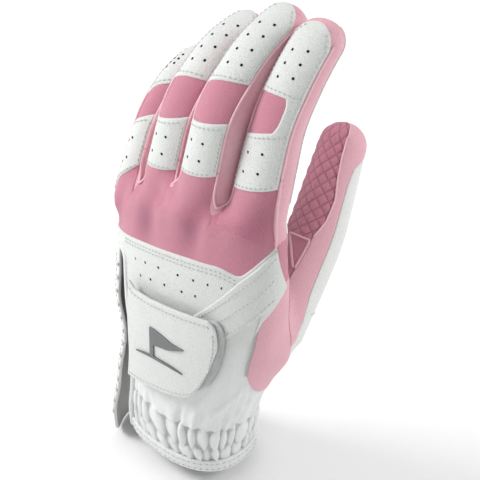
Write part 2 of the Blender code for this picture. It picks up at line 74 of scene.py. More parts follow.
# edges of the white overlays as (distance at the back, slope per degree): bottom, top, distal start
OVERLAY = {
    "index": ((10.0, 0.062), (30.3, 0.058), (41.0, 0.018)),
    "middle": ((12.4, 0.062), (32.0, 0.048), (43.9, 0.054)),
    "ring": ((10.3, 0.060), (29.7, 0.060), (41.4, 0.043)),
    "little": ((6.5, 0.150), (26.6, 0.070), (36.6, 0.068)),
}
OVERLAY_SIDES = {"index": (-58, 58), "middle": (-64, 50), "ring": (-64, 44), "little": (-66, 30)}
OVERLAY_LIFT = 0.55
# angles where the white palm leather of a finger starts and ends
PALM_SIDES = (114.0, 246.0)
# crotch between two fingers, as seen from the back
WEBS = {
    ("index", "middle"): (16.6, -3.9, 112.3),
    ("middle", "ring"): (-3.6, -6.0, 112.6),
    ("ring", "little"): (-22.8, -3.6, 100.8),
}
# how much fuller each finger is on the back of its little-finger side and on the palm of its thumb side
FULLER = {"index": (0.12, -0.05), "middle": (0.0, 0.105), "ring": (-0.02, 0.07), "little": (-0.14, 0.07)}
THUMB_AXIS = ((24.5, 12, 57), (22.5, 36, 80), (15.5, 56, 103))
THUMB_NAIL = (0.60, -0.52, 0.60)
THUMB_AT = (-10, 0, 14, 33, 55, 74)
THUMB_A = (9, 12.2, 11.3, 10.0, 8.8, 7.6)
THUMB_B = (9, 11.6, 10.6, 9.4, 8.3, 7.3)
THUMB_TIP = 74.0
THUMB_KNUCKLE = 20.5
THUMB_MIDDLE = 42.0
# how far a point may move to settle on the common skin, on the hand, at a finger's root and on the thumb
HAND_SETTLE = 6.0
FINGER_SETTLE = 3.5
THUMB_SETTLE = 7.0


def unit(v):
    return v / np.linalg.norm(v, axis=-1, keepdims=True)


def dense(xs, ys):
    """Smooth curve through (xs, ys), sampled densely for fast lookup."""
    xs = np.asarray(xs, float)
    ys = np.asarray(ys, float)
    slopes = np.gradient(ys, xs)
    x = np.linspace(xs[0], xs[-1], 600)
    i = np.clip(np.searchsorted(xs, x, side="right") - 1, 0, len(xs) - 2)
    step = xs[i + 1] - xs[i]
    t = (x - xs[i]) / step
    y = ys[i] * (1 + 2 * t) * (1 - t) ** 2 + slopes[i] * step * t * (1 - t) ** 2
    y = y + ys[i + 1] * t * t * (3 - 2 * t) - slopes[i + 1] * step * t * t * (1 - t)
    return lambda v: np.interp(v, x, y)


HAND_TABLES = [dense(HAND_HEIGHT, t) for t in (HAND_CX, HAND_CY, HAND_A, HAND_B)]


def arch(x):
    """How far the knuckle row bows towards the palm."""
    return 0.0038 * (x - 3) ** 2 - 1.5


def knuckle_rise(x, y):
    """How much higher the knuckle row is than a level one."""
    return 0.3 * x - 0.006 * x * x - 2 - 0.15 * y


def hand_shape(u, h, out=0.0):
    """Points on the hand body at angles u (degrees) and heights h, moved outward."""
    u, h = np.broadcast_arrays(np.asarray(u, float), np.asarray(h, float))
    cx, cy, a, b = (t(h) for t in HAND_TABLES)
    c = np.cos(np.radians(u))
    s = np.sin(np.radians(u))
    q = np.maximum(h, 0) / HAND_REACH
    x = cx + (a + out) * np.sign(c) * np.abs(c) ** (2 / POWER)
    y = cy + (b + out) * np.sign(s) * np.abs(s) ** (2 / POWER) + arch(x) * q * q
    return np.stack([x, y, h + knuckle_rise(x, y) * q * q], -1)


def hand_distance(p):
    """Rough signed distance from the hand body, whose knuckle end is capped."""
    x, y, z = p[..., 0], p[..., 1], p[..., 2]
    rise = knuckle_rise(x, y)
    h = z.copy()
    for _ in range(4):
        h = z - rise * (np.clip(h, 0, 120) / HAND_REACH) ** 2
    q = np.clip(h, 0, 120) / HAND_REACH
    cx, cy, a, b = (t(h) for t in HAND_TABLES)
    vx = x - cx
    vy = y - cy - arch(x) * q * q
    r = (np.abs(vx / a) ** POWER + np.abs(vy / b) ** POWER) ** (1 / POWER) + 1e-6
    side = np.hypot(vx, vy) * (1 - 1 / r)
    return -soft_min(-side, -(h - HAND_TOP), 5.0)


def soft_min(a, b, k):
    """Minimum of two distances with a fillet of about k."""
    h = np.maximum(k - np.abs(a - b), 0) / k
    return np.minimum(a, b) - h * h * k / 4


class Sleeve:
    """Tapered tube along a bent axis with a rounded tip: one finger or the thumb."""

    def __init__(self, base, heading, sizes, length, fuller=(0.0, 0.0)):
        self.length = length
        self.top = length - sizes(length)[1]
        self.fuller = fuller
        self.sizes = sizes
        self.s = np.arange(-14.0, length + 2.1, 1.0)
        frames = [heading(s) for s in self.s]
        self.tangent = np.array([f[0] for f in frames])
        self.back = np.array([f[1] for f in frames])
        steps = np.array([heading(s + 0.5)[0] for s in self.s[:-1]])
        path = np.vstack([np.zeros(3), np.cumsum(steps, axis=0)])
        self.path = path - self.row(path, 0.0) + np.array(base, float)

    def row(self, values, s):
        return np.stack([np.interp(s, self.s, values[:, k]) for k in range(3)], -1)

    def at(self, s):
        """Axis point, tangent, back and side directions at distances s."""
        tangent = unit(self.row(self.tangent, s))
        back = self.row(self.back, s)
        back = unit(back - tangent * (tangent * back).sum(-1, keepdims=True))
        return self.row(self.path, s), tangent, back, np.cross(tangent, back)

    def swell(self, phi):
        """Share by which the round section is fuller at an angle."""
        p = (np.asarray(phi, float) + 180) % 360 - 180
        back, palm = self.fuller
        return 1 + back * np.exp(-(((p + 52) / 32) ** 2)) + palm * np.exp(-(((p - 125) / 36) ** 2))

    def shape(self, phi, s, out=0.0):
        """Points phi degrees from the back at distance s; past the straight part, s goes up the rounded tip."""
        phi, s = np.broadcast_arrays(np.asarray(phi, float), np.asarray(s, float))
        turn = np.clip((s - self.top) / (self.length - self.top), 0, 1) * math.pi / 2
        axis_s = np.where(s > self.top, self.top + (self.sizes(s)[1] + out) * np.sin(turn), s)
        point, _, back, side = self.at(axis_s)
        a, b = (size * self.swell(phi) for size in self.sizes(axis_s))
        p = np.radians(phi)
        wide = (a + out) * np.cos(turn) * np.sin(p)
        high = (b + out) * np.cos(turn) * np.cos(p)
        return point + side * wide[..., None] + back * high[..., None]

    def distance(self, p, batch=20000):
        """Rough signed distance from the sleeve."""
        flat_p = p.reshape(-1, 3)
        out = np.empty(len(flat_p))
        for start in range(0, len(flat_p), batch):
            q = flat_p[start : start + batch]
            s = self.s[((q[:, None, :] - self.path[None]) ** 2).sum(-1).argmin(1)]
            point, tangent, _, _ = self.at(s)
            s = np.clip(s + ((q - point) * tangent).sum(-1), -5.0, self.top)
            point, tangent, back, side = self.at(s)
            a, b = self.sizes(s)
            x, y, z = (((q - point) * axis).sum(-1) for axis in (side, back, tangent))
            full = self.swell(np.degrees(np.arctan2(x, y)))
            r = np.sqrt((x / a / full) ** 2 + (y / b / full) ** 2 + (z / b) ** 2) + 1e-6
            out[start : start + batch] = np.sqrt(x * x + y * y + z * z) * (1 - 1 / r)
        return out.reshape(p.shape[:-1])


def finger_sleeve(name, spec):
    """Sleeve of one finger: straight to the middle joint, then bent there and near the tip."""
    overlay_top, patch_top, length = spec["at"]
    middle = (overlay_top + patch_top) / 2
    last = middle + 0.52 * (length - middle)
    lean = math.radians(spec["lean"])
    up = np.array((math.sin(lean), 0, math.cos(lean)))
    forward = np.array((0.0, 1.0, 0.0))
    at_knuckle, at_middle, at_tip = spec["bends"]

    def heading(s):
        bend = at_knuckle + at_middle * min(max((s - middle + 7) / 14, 0), 1)
        turn = math.radians(bend + at_tip * min(max((s - last + 6) / 12, 0), 1))
        cos, sin = math.cos(turn), math.sin(turn)
        return up * cos + forward * sin, up * sin - forward * cos

    def sizes(s):
        a = spec["wide"] / 2 * (1 - 0.2 * np.clip(np.asarray(s, float) / length, 0, 1))
        return a, a * 0.92

    sleeve = Sleeve(spec["base"], heading, sizes, length, FULLER[name])
    sleeve.middle = middle
    return sleeve


def thumb_sleeve():
    """Sleeve of the thumb, from inside the hand body to the thumb tip."""
    corners = np.array(THUMB_AXIS, float)
    first, second = np.diff(corners, axis=0)
    bend_at = np.linalg.norm(first)
    nail = np.array(THUMB_NAIL)

    def heading(s):
        w = min(max((s - bend_at + 8) / 16, 0), 1)
        tangent = unit(unit(first) * (1 - w) + unit(second) * w)
        return tangent, unit(nail - tangent * nail.dot(tangent))

    def sizes(s):
        return np.interp(s, THUMB_AT, THUMB_A), np.interp(s, THUMB_AT, THUMB_B)

    return Sleeve(THUMB_AXIS[0], heading, sizes, THUMB_TIP)


SLEEVES = {name: finger_sleeve(name, spec) for name, spec in FINGERS.items()}
THUMB = thumb_sleeve()


def skin_distance(p):
    """Signed distance from the whole smooth skin: hand, webs, fingers and thumb run into each other."""
    d = hand_distance(p)
    for x, y, z in WEBS.values():
        d = soft_min(d, np.linalg.norm((p - (x, y + 6.0, z - 4.5)) / (1, 1.7, 1), axis=-1) - 4.5, 3.0)
    d = soft_min(d, np.min([s.distance(p) for s in SLEEVES.values()], axis=0), 4.5)
    return soft_min(d, THUMB.distance(p), 7.0)


def settle(base, outward, most):
    """Moves points along their outward direction onto the skin, by at most the given distance."""
    o = unit(outward)
    t = np.zeros(base.shape[:-1])
    for _ in range(5):
        t = np.clip(t - skin_distance(base + o * t[..., None]), -most, most)
    return base + o * t[..., None]


def surface(shape, across, along, lift=0.0, most=0.0):
    """Points of a shape with their outward directions, settled on the skin by up to most and then lifted."""
    base = shape(across, along)
    outward = shape(across, along, 1.0) - base
    if np.any(most):
        base = settle(base, outward, most)
    return base + unit(outward) * lift, outward


# ---------------------------------------------------------------- materials
def node(tree, kind, inputs, **settings):
    """New shader node. An input is a value or another node's output, by the input's name or number."""
    n = tree.nodes.new(kind)
    for key, value in settings.items():
        setattr(n, key, value)
    for key, value in inputs.items():
        if isinstance(value, bpy.types.NodeSocket):
            tree.links.new(value, n.inputs[key])
        else:
            n.inputs[key].default_value = value
    return n


def soft_material(
    name, colour, dark, rough, grain, scale, sheen=0.0, weave=0.0, deep=(0.6, 0.6, 0.6), plain=False
):
    """Leather or knit: two tones by noise, with a grain or weave bump, and painted shade where a sheet's point
    attribute asks for it. A plain one has a single tone.
    """
    mat = bpy.data.materials.new(name)
    mat.use_nodes = True
    tree = mat.node_tree
    shader = tree.nodes["Principled BSDF"]
    shader.inputs["Sheen Weight"].default_value = sheen
    shader.inputs["Sheen Roughness"].default_value = 0.45
    shader.inputs["Specular IOR Level"].default_value = 0.35
    shader.inputs["Roughness"].default_value = rough
    place = node(tree, "ShaderNodeTexCoord", {}).outputs["Object"]
    cells = node(tree, "ShaderNodeTexVoronoi", {"Vector": place, "Scale": scale}, feature="DISTANCE_TO_EDGE")
    crease = {"Value": cells.outputs["Distance"], "From Max": 0.16}
    crease = node(tree, "ShaderNodeMapRange", crease).outputs["Result"]
    fine = {"Vector": place, "Scale": scale * 2.2, "Detail": 4.0, "Roughness": 0.7}
    fine = node(tree, "ShaderNodeTexNoise", fine).outputs["Fac"]
    height = node(tree, "ShaderNodeMath", {0: crease, 1: fine}, operation="ADD").outputs[0]
    for axis in ("X", "Z") if weave else ():
        rib = {"Vector": place, "Scale": weave, "Distortion": 0.6}
        rib = node(tree, "ShaderNodeTexWave", rib, bands_direction=axis).outputs["Fac"]
        height = node(tree, "ShaderNodeMath", {0: height, 1: rib}, operation="ADD").outputs[0]
    bump = node(tree, "ShaderNodeBump", {"Strength": grain, "Distance": 0.00035, "Height": height})
    tree.links.new(bump.outputs["Normal"], shader.inputs["Normal"])
    if plain:
        shader.inputs["Base Color"].default_value = (*[0.8 * a + 0.2 * b for a, b in zip(colour, dark)], 1)
        return mat
    cloud = {"Vector": place, "Scale": 70.0, "Detail": 5.0, "Roughness": 0.6}
    cloud = node(tree, "ShaderNodeTexNoise", cloud).outputs["Fac"]
    blotch = node(tree, "ShaderNodeMath", {0: cloud, 1: 0.35}, operation="MULTIPLY").outputs[0]
    tone = {0: blotch, 6: (*colour, 1), 7: (*dark, 1)}
    tone = node(tree, "ShaderNodeMix", tone, data_type="RGBA").outputs[2]
    # painted shade: a point attribute of the sheet pulls the tone towards the dark tone times deep
    painted = node(tree, "ShaderNodeAttribute", {}, attribute_name="tint").outputs["Fac"]
    shade = {0: painted, 6: tone, 7: (*[channel * power for channel, power in zip(dark, deep)], 1)}
    shade = node(tree, "ShaderNodeMix", shade, data_type="RGBA").outputs[2]
    crevice = {0: 0.15, 6: shade, 7: crease}
    crevice = node(tree, "ShaderNodeMix", crevice, data_type="RGBA", blend_type="MULTIPLY").outputs[2]
    tree.links.new(crevice, shader.inputs["Base Color"])
    return mat


# tones, roughness, strength and scale of the grain, then sheen, weave and the factors that darken the painted
# shade in hollows, valleys and grooves
MATS = {
    "white": soft_material("white_leather", (0.72, 0.735, 0.72), (0.56, 0.585, 0.565), 0.52, 0.4, 1500),
    "wrist": soft_material("wrist_leather", (0.76, 0.77, 0.765), (0.62, 0.64, 0.64), 0.6, 0.25, 1900),
    "palm": soft_material("palm_leather", (0.76, 0.765, 0.75), (0.62, 0.63, 0.61), 0.58, 0.4, 1300),
    "pink": soft_material("pink_leather", (0.73, 0.41, 0.465), (0.60, 0.28, 0.345), 0.6, 0.3, 1700, 0.1),
    "knit": soft_material(
        "pink_knit", (0.66, 0.27, 0.35), (0.50, 0.15, 0.23), 0.85, 0.5, 2400, 0.25, 900, (0.62, 0.5, 0.62)
    ),
    "deep": soft_material(
        "deep_pink_knit", (0.59, 0.23, 0.30), (0.45, 0.14, 0.21), 0.85, 0.5, 2000, 0.25, 1000, (0.45, 0.4, 0.5)
    ),
    "pile": soft_material("closure_pile", (0.90, 0.91, 0.91), (0.74, 0.76, 0.76), 0.95, 0.9, 2600, 0.6),
}
for label, *values in (
    ("pipe", "pale_pink_piping", (0.78, 0.48, 0.53), (0.70, 0.38, 0.44), 0.6, 0.3, 1800, 0.2),
    # the white thread is greyed, partly to its own grey-green and partly as painted shade so the rows show on
    # white leather
    ("thread", "white_thread", (0.52, 0.55, 0.535), (0.42, 0.45, 0.44), 0.6, 0.3, 4000, 0.1),
    ("pink_thread", "pink_thread", (0.60, 0.22, 0.30), (0.45, 0.14, 0.21), 0.6, 0.3, 4000, 0.3),
    ("emblem", "grey_emblem", (0.16, 0.165, 0.17), (0.10, 0.10, 0.11), 0.42, 0.15, 2500),
    ("hole", "hole_shadow", (0.012, 0.012, 0.014), (0.005, 0.005, 0.006), 0.9, 0.1, 2500),
):
    MATS[label] = soft_material(*values, plain=True)


# ---------------------------------------------------------------- meshes
# sides of a grid that get a rounded rim: low u, high u, low v, high v
ALL_RIMS = (1, 1, 1, 1)
SIDE_RIMS = (1, 1, 0, 0)
NO_RIMS = (0, 0, 0, 0)


def make(name, verts, faces, mat, smooth=True):
    """Mesh object from millimetre points, in the shared frame."""
    mesh = bpy.data.meshes.new(name)
    faces = faces if isinstance(faces, list) else faces.tolist()
    mesh.from_pydata((np.asarray(verts) * MM).tolist(), [], faces)
    mesh.materials.append(MATS[mat])
    mesh.validate()
    mesh.polygons.foreach_set("use_smooth", [smooth] * len(mesh.polygons))
    obj = bpy.data.objects.new(name, mesh)
    bpy.context.scene.collection.objects.link(obj)
    return obj


def move(obj, place, *nodes):
    """Rides obj on the body that place names. Given a span from one body to another in millimetres instead, it
    only bakes obj's transform in place. It stands for the CAD nodes given."""
    if isinstance(place, str):
        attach(obj, place)
    else:
        body, other, start, end = place
        tuple(np.array(start) * MM)
        tuple(np.array(end) * MM)
        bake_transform(obj)
    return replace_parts(obj, *nodes) if nodes else obj


def normals_of(grid, outward):
    """Unit normals of a grid of points, facing outward."""
    n = np.cross(np.gradient(grid, axis=0), np.gradient(grid, axis=1))
    n = n / np.maximum(np.linalg.norm(n, axis=-1, keepdims=True), 1e-9)
    flip = np.sign((n * outward).sum(-1, keepdims=True))
    return n * np.where(flip == 0, 1, flip)


def edge_distance(grid, sides):
    """Distance in millimetres of each grid point from the chosen sides (low u, high u, low v, high v)."""
    far = np.full(grid.shape[:2], 1e3)
    along_u = np.linalg.norm(np.diff(grid, axis=0), axis=-1)
    along_v = np.linalg.norm(np.diff(grid, axis=1), axis=-1)
    cu = np.vstack([np.zeros((1, grid.shape[1])), np.cumsum(along_u, 0)])
    cv = np.hstack([np.zeros((grid.shape[0], 1)), np.cumsum(along_v, 1)])
    for wanted, d in zip(sides, (cu, cu[-1:] - cu, cv, cv[:, -1:] - cv)):
        if wanted:
            far = np.minimum(far, d)
    return far


def spaced(count):
    """Parameters from 0 to 1 that crowd together at both ends, so that rims can be round."""
    inner = np.linspace(0, 1, count)[1:-1]
    rim = 0.22 / count
    return np.unique(np.concatenate([[0, rim * 0.6, rim * 1.5], inner, [1 - rim * 1.5, 1 - rim * 0.6, 1]]))


def thin_sheet(
    name, grid, outward, mat, off=0.0, thick=0.9, rims=ALL_RIMS, bump=0.0, keep=None, round_=0.4, tint=None
):
    """Closed thin solid on a grid of surface points, with rounded rims and optional relief. keep masks its
    cells, and the last argument darkens its points with painted shade."""
    n = normals_of(grid, outward)
    d = edge_distance(grid, rims)
    drop = round_ * (1 - np.sqrt(np.clip(1 - (1 - np.clip(d / 0.7, 0, 1)) ** 2, 0, 1)))
    outer = grid + n * (off - drop + bump)[..., None]
    inner = grid + n * (off - thick)
    nu, nv = grid.shape[:2]
    count = nu * nv
    cell = np.ones((nu - 1, nv - 1), bool) if keep is None else keep[: nu - 1, : nv - 1]
    index = np.arange(count).reshape(nu, nv)
    quads = np.stack([index[:-1, :-1], index[1:, :-1], index[1:, 1:], index[:-1, 1:]], -1)[cell]
    facing = np.cross(grid[1:, :-1] - grid[:-1, :-1], grid[:-1, 1:] - grid[:-1, :-1]) * outward[:-1, :-1]
    if facing.sum() < 0:
        quads = quads[:, ::-1]
    edges = np.concatenate([quads[:, [k, (k + 1) % 4]] for k in range(4)])
    rim = edges[~np.isin(edges[:, 0] * count + edges[:, 1], edges[:, 1] * count + edges[:, 0])]
    walls = np.stack([rim[:, 1], rim[:, 0], rim[:, 0] + count, rim[:, 1] + count], -1)
    faces = np.concatenate([quads, quads[:, ::-1] + count, walls])
    used, faces = np.unique(faces, return_inverse=True)
    verts = np.concatenate([outer.reshape(-1, 3), inner.reshape(-1, 3)])[used]
    obj = make(name, verts, faces.reshape(-1, 4), mat)
    # painted shade per point, read by the material's shade mix
    if tint is not None:
        values = np.concatenate([tint.ravel(), tint.ravel()])[used]
        obj.data.attributes.new("tint", "FLOAT", "POINT").data.foreach_set("value", values.astype(np.float32))
    return obj


def ring_faces(start, rings, sides):
    """Faces of a closed tube whose rings of points follow each other from index start."""
    faces = []
    for j in range(rings - 1):
        for k in range(sides):
            a = start + j * sides + k
            b = start + j * sides + (k + 1) % sides
            faces.append((a, b, b + sides, a + sides))
    faces.append(tuple(start + k for k in reversed(range(sides))))
    faces.append(tuple(start + (rings - 1) * sides + k for k in range(sides)))
    return faces


def table_edge(corners):
    """Edge through the corners, straight between them."""
    return lambda u: np.interp(u, [c[0] for c in corners], [c[1] for c in corners])


def smooth_edge(corners):
    """Edge through the corners with its kinks rounded off."""
    xs = np.linspace(corners[0][0], corners[-1][0], 300)
    kernel = np.hanning(19)
    ys = np.convolve(np.pad(table_edge(corners)(xs), 9, mode="edge"), kernel / kernel.sum(), mode="valid")
    return lambda u: np.interp(u, xs, ys)


def flat(height):
    return lambda u: np.full(np.shape(u), float(height))


def hand_grid(u0, u1, low, high, nu, nv, on_skin=True):
    """Grid on the hand between two edges, with its angles and heights. u0 may depend on the share up it."""
    v = spaced(nv)[None, :]
    left = u0(v) if callable(u0) else u0 + 0 * v
    u = left + (u1 - left) * spaced(nu)[:, None]
    h = low(u) + (high(u) - low(u)) * v
    reach = 1.8 + 4.2 * np.clip((np.cos(np.radians(u - 20)) - 0.55) / 0.25, 0, 1)
    reach = reach + 2.5 * np.clip((h - 86) / 12, 0, 1)
    return *surface(hand_shape, u, h, most=reach if on_skin else 0.0), u, h


def hand_line(us, hs, lift=0.0):
    """Line on the hand through arrays of angles and heights, with outward directions."""
    return surface(hand_shape, us, hs, lift, HAND_SETTLE)


def above_hand(u, h, out):
    """Points at a distance from the smooth hand, with outward directions."""
    base = hand_shape(u, h, out)
    return base, hand_shape(u, h, out + 1) - base


def tube_grid(sleeve, p0, p1, low, high, nu, nv, most=0.0):
    """Grid on a sleeve between two edges; p0 and p1 may be functions of the share up the panel."""
    v = spaced(nv)[None, :]
    left = p0(v) if callable(p0) else p0
    right = p1(v) if callable(p1) else p1
    phi = left + (right - left) * spaced(nu)[:, None] + 0 * v
    s = low(phi) + (high(phi) - low(phi)) * v
    return surface(sleeve.shape, phi, s, most=most)


def stitches(name, lines, mat="thread", pitch=1.75, length=1.25, radius=0.24, lift=0.08, lean=0.0):
    """Row of small thread loops along each line, given as (points, outward) arrays."""
    verts = []
    faces = []
    ring = [(math.cos(math.tau * k / 6), math.sin(math.tau * k / 6)) for k in range(6)]
    profile = ((-0.5, 0.15), (-0.32, 0.8), (0.0, 1.0), (0.32, 0.8), (0.5, 0.15))
    for points, outward in lines:
        total = np.concatenate([[0], np.cumsum(np.linalg.norm(np.diff(points, axis=0), axis=1))])
        along_line = lambda d, values: np.array([np.interp(d, total, values[:, k]) for k in range(3)])
        for d in np.arange(pitch * 0.6, total[-1] - pitch * 0.4, pitch):
            p = along_line(d, points)
            o = unit(along_line(d, outward))
            t = along_line(min(d + 0.4, total[-1]), points) - p
            t = t - o * t.dot(o)
            t = t / (np.linalg.norm(t) + 1e-9)
            t = t * math.cos(lean) + np.cross(o, t) * math.sin(lean)
            b = np.cross(o, t)
            faces += ring_faces(len(verts), len(profile), len(ring))
            for along, width in profile:
                middle, r = p + t * along * length, radius * width
                for c, s in ring:
                    verts.append(middle + o * (lift + s * r) + b * c * r)
    return make(name, verts, faces, mat)


def rope(name, points, radius, mat, sides=8):
    """Round cord along a line of points: piping, binding or a raised seam."""
    tangent = unit(np.gradient(points, axis=0))
    side = unit(np.cross(tangent, (0.31, -0.9, 0.2)))
    other = np.cross(tangent, side)
    verts = []
    for k in range(len(points)):
        size = radius * (0.5 if k in (0, len(points) - 1) else 1.0)
        for j in range(sides):
            a = math.tau * j / sides
            verts.append(points[k] + size * (side[k] * math.cos(a) + other[k] * math.sin(a)))
    return make(name, verts, ring_faces(0, len(points), sides), mat)


def holes(name, spots, radius=0.5, sides=12):
    """Punched holes: a dark sunk disc inside a slightly raised lip for each (point, outward)."""
    verts = []
    faces = []
    profile = ((radius, -0.3), (radius, 0.05), (radius * 0.82, 0.09), (radius * 0.2, 0.02))
    for p, o in spots:
        o = unit(o)
        a = unit(np.cross(o, (0.3, 0.2, 0.9)))
        b = np.cross(o, a)
        faces += ring_faces(len(verts), len(profile), sides)
        for r, z in profile:
            for k in range(sides):
                t = math.tau * k / sides
                verts.append(p + a * math.cos(t) * r + b * math.sin(t) * r + o * z)
    return make(name, verts, faces, "hole")


# ---------------------------------------------------------------- fingers
# hollows in the knit over the knuckles: middle, half width, half height, depth
HOLLOWS = ((-13, 94, 5.0, 9, 1.0), (9, 103, 5.5, 11, 1.0), (31, 112, 5.0, 10, 0.8), (-31, 86, 4, 7, 0.5))
HOLLOW_DEPTH = 0.8
# how dark the painted shade in the knuckle hollows is
HOLLOW_PAINTED_SHADE = 0.75


def hollow(points):
    """Soft hollows in the knit in line with the fingers, between ridges that run down from the crotches."""
    x, y, z = points[..., 0], points[..., 1], points[..., 2]
    depth = np.zeros(x.shape)
    for cx, cz, wide, tall, amount in HOLLOWS:
        depth = depth + amount * np.exp(-(((x - cx - 0.16 * (z - cz)) / wide) ** 2) - ((z - cz) / tall) ** 2)
    for cx, _, cz in WEBS.values():
        depth = depth - 0.55 * np.exp(-(((x - cx - 0.12 * (z - cz)) / 3.2) ** 2) - ((z - cz + 9) / 9) ** 2)
    return depth * (y < 2)


def slanted(edge, shift=0.0):
    """Edge across a sleeve that climbs with the angle."""
    return lambda phi: edge[0] + edge[1] * np.clip(phi, -80, 80) + shift


def bend_places(name, sleeve, knuckle, half, middle):
    """Where pieces ride that cross the first joint and the middle joint, and the last body's name."""
    prox, dist = f"{name}_proximal", f"{name}_distal"
    lower = ("hand", prox, sleeve.at(knuckle - half)[0], sleeve.at(knuckle + half)[0])
    upper = (prox, dist, sleeve.at(middle - 6.0)[0], sleeve.at(middle + 6.0)[0])
    return lower, upper, dist


def finger_places(name):
    return bend_places(name, SLEEVES[name], 0.0, 5.0, SLEEVES[name].middle)


def build_finger(name):
    """Under-sleeve, palm leather, tip, overlays and piping of one finger."""
    sleeve = SLEEVES[name]
    lower, upper, dist = finger_places(name)
    bottom, top, distal = OVERLAY[name]
    left, right = OVERLAY_SIDES[name]
    full = sleeve.length - 0.05
    side_low = {"index": (-9, -4), "middle": (-2, -6), "ring": (-3, -2), "little": (-3, -9)}[name]
    turn = 20.0 if name == "index" else 0.0
    lobe_edge = lambda v: right + 4 + turn * (1 - v) ** 1.2
    radial_edge = lambda v: right - 3 + turn * (1 - v) ** 1.4
    split, side_end = flat(FINGER_SPLIT), flat(full - 3.6)

    def part(label, p0, p1, low, high, nu, nv, mat, place, off, rims, *nodes):
        on_skin = place is lower
        grid, outward = tube_grid(sleeve, p0, p1, low, high, nu, nv, FINGER_SETTLE if on_skin else 0.0)
        dip = hollow(grid) if label == "knuckle_lobe" else np.zeros(grid.shape[:2])
        # painted shade: the knuckle hollows of the lobe are darkened in colour as well as sunk
        tint = np.clip(dip, 0, 1) * HOLLOW_PAINTED_SHADE
        obj = thin_sheet(f"{name}_{label}", grid, outward, mat, off, 0.9, rims, -HOLLOW_DEPTH * dip, tint=tint)
        move(obj, place, *[f"{name}_{label}" for label in nodes])

    # knit over the knuckle and the middle joint
    low, high = flat(-6), slanted(bottom, 3)
    part("knuckle_lobe", left - 6, lobe_edge, low, high, 34, 26, "knit", lower, 0.1, SIDE_RIMS, "knuckle_lobe")
    low, high = slanted(top, -2.5), slanted(distal, 2.5)
    part("joint_patch", left - 2, right + 2, low, high, 30, 26, "knit", upper, 0.05, ALL_RIMS, "joint_patch")
    # pink sides, in a lower half at the knuckle and an upper half at the middle joint
    low, stop = flat(side_low[0]), PALM_SIDES[0]
    rims, node_name = SIDE_RIMS, "fourchette_radial"
    part("radial_side_lower", radial_edge, stop, low, split, 16, 24, "pink", lower, 0, rims, node_name)
    part("radial_side_upper", right - 3, stop, split, side_end, 16, 54, "pink", upper, 0, rims)
    low, start, stop, node_name = flat(side_low[1]), PALM_SIDES[1], 360 + left + 3, "fourchette_ulnar"
    part("ulnar_side_lower", start, stop, low, split, 16, 24, "pink", lower, 0, rims)
    part("ulnar_side_upper", start, stop, split, side_end, 16, 54, "pink", upper, 0, rims, node_name)
    # white palm leather, split like the sides
    low = flat(-9 if name == "little" else -5)
    part("palm_lower", *PALM_SIDES, low, split, 26, 22, "palm", lower, 0.06, rims, "proximal_palm")
    rims = (1, 1, 0, 1)
    part("palm_upper", *PALM_SIDES, split, flat(full - 0.6), 26, 60, "palm", upper, 0.1, rims, "distal_palm")
    # pink skin below the far overlay and cap over the tip
    part("tip_back", left - 2, right + 2, slanted(distal, 1), side_end, 20, 40, "pink", upper, -0.1, NO_RIMS)
    part("tip_cap", 0, 360, flat(full - 4.6), flat(full), 48, 10, "pink", dist, -0.04, NO_RIMS, "distal_side")
    build_overlays(name, sleeve)
    build_piping(name, sleeve)


def round_tip(left, right):
    """Side edges of a distal overlay that draw together into a rounded end."""
    def narrow(v):
        return np.sqrt(np.clip(1 - np.clip((v - 0.74) / 0.26, 0, 1) ** 2, 0.0, 1)) * 0.96 + 0.04
    mid = (left + right) / 2
    return (lambda v: mid + (left - mid) * narrow(v)), (lambda v: mid + (right - mid) * narrow(v))


def overlay_places(name):
    """Where the near and the far overlay ride. The index finger's side strip joins its two, so both get the
    span over the middle joint, which only fixes them in place.
    """
    _, upper, dist = finger_places(name)
    return (upper, upper) if name == "index" else (f"{name}_proximal", dist)


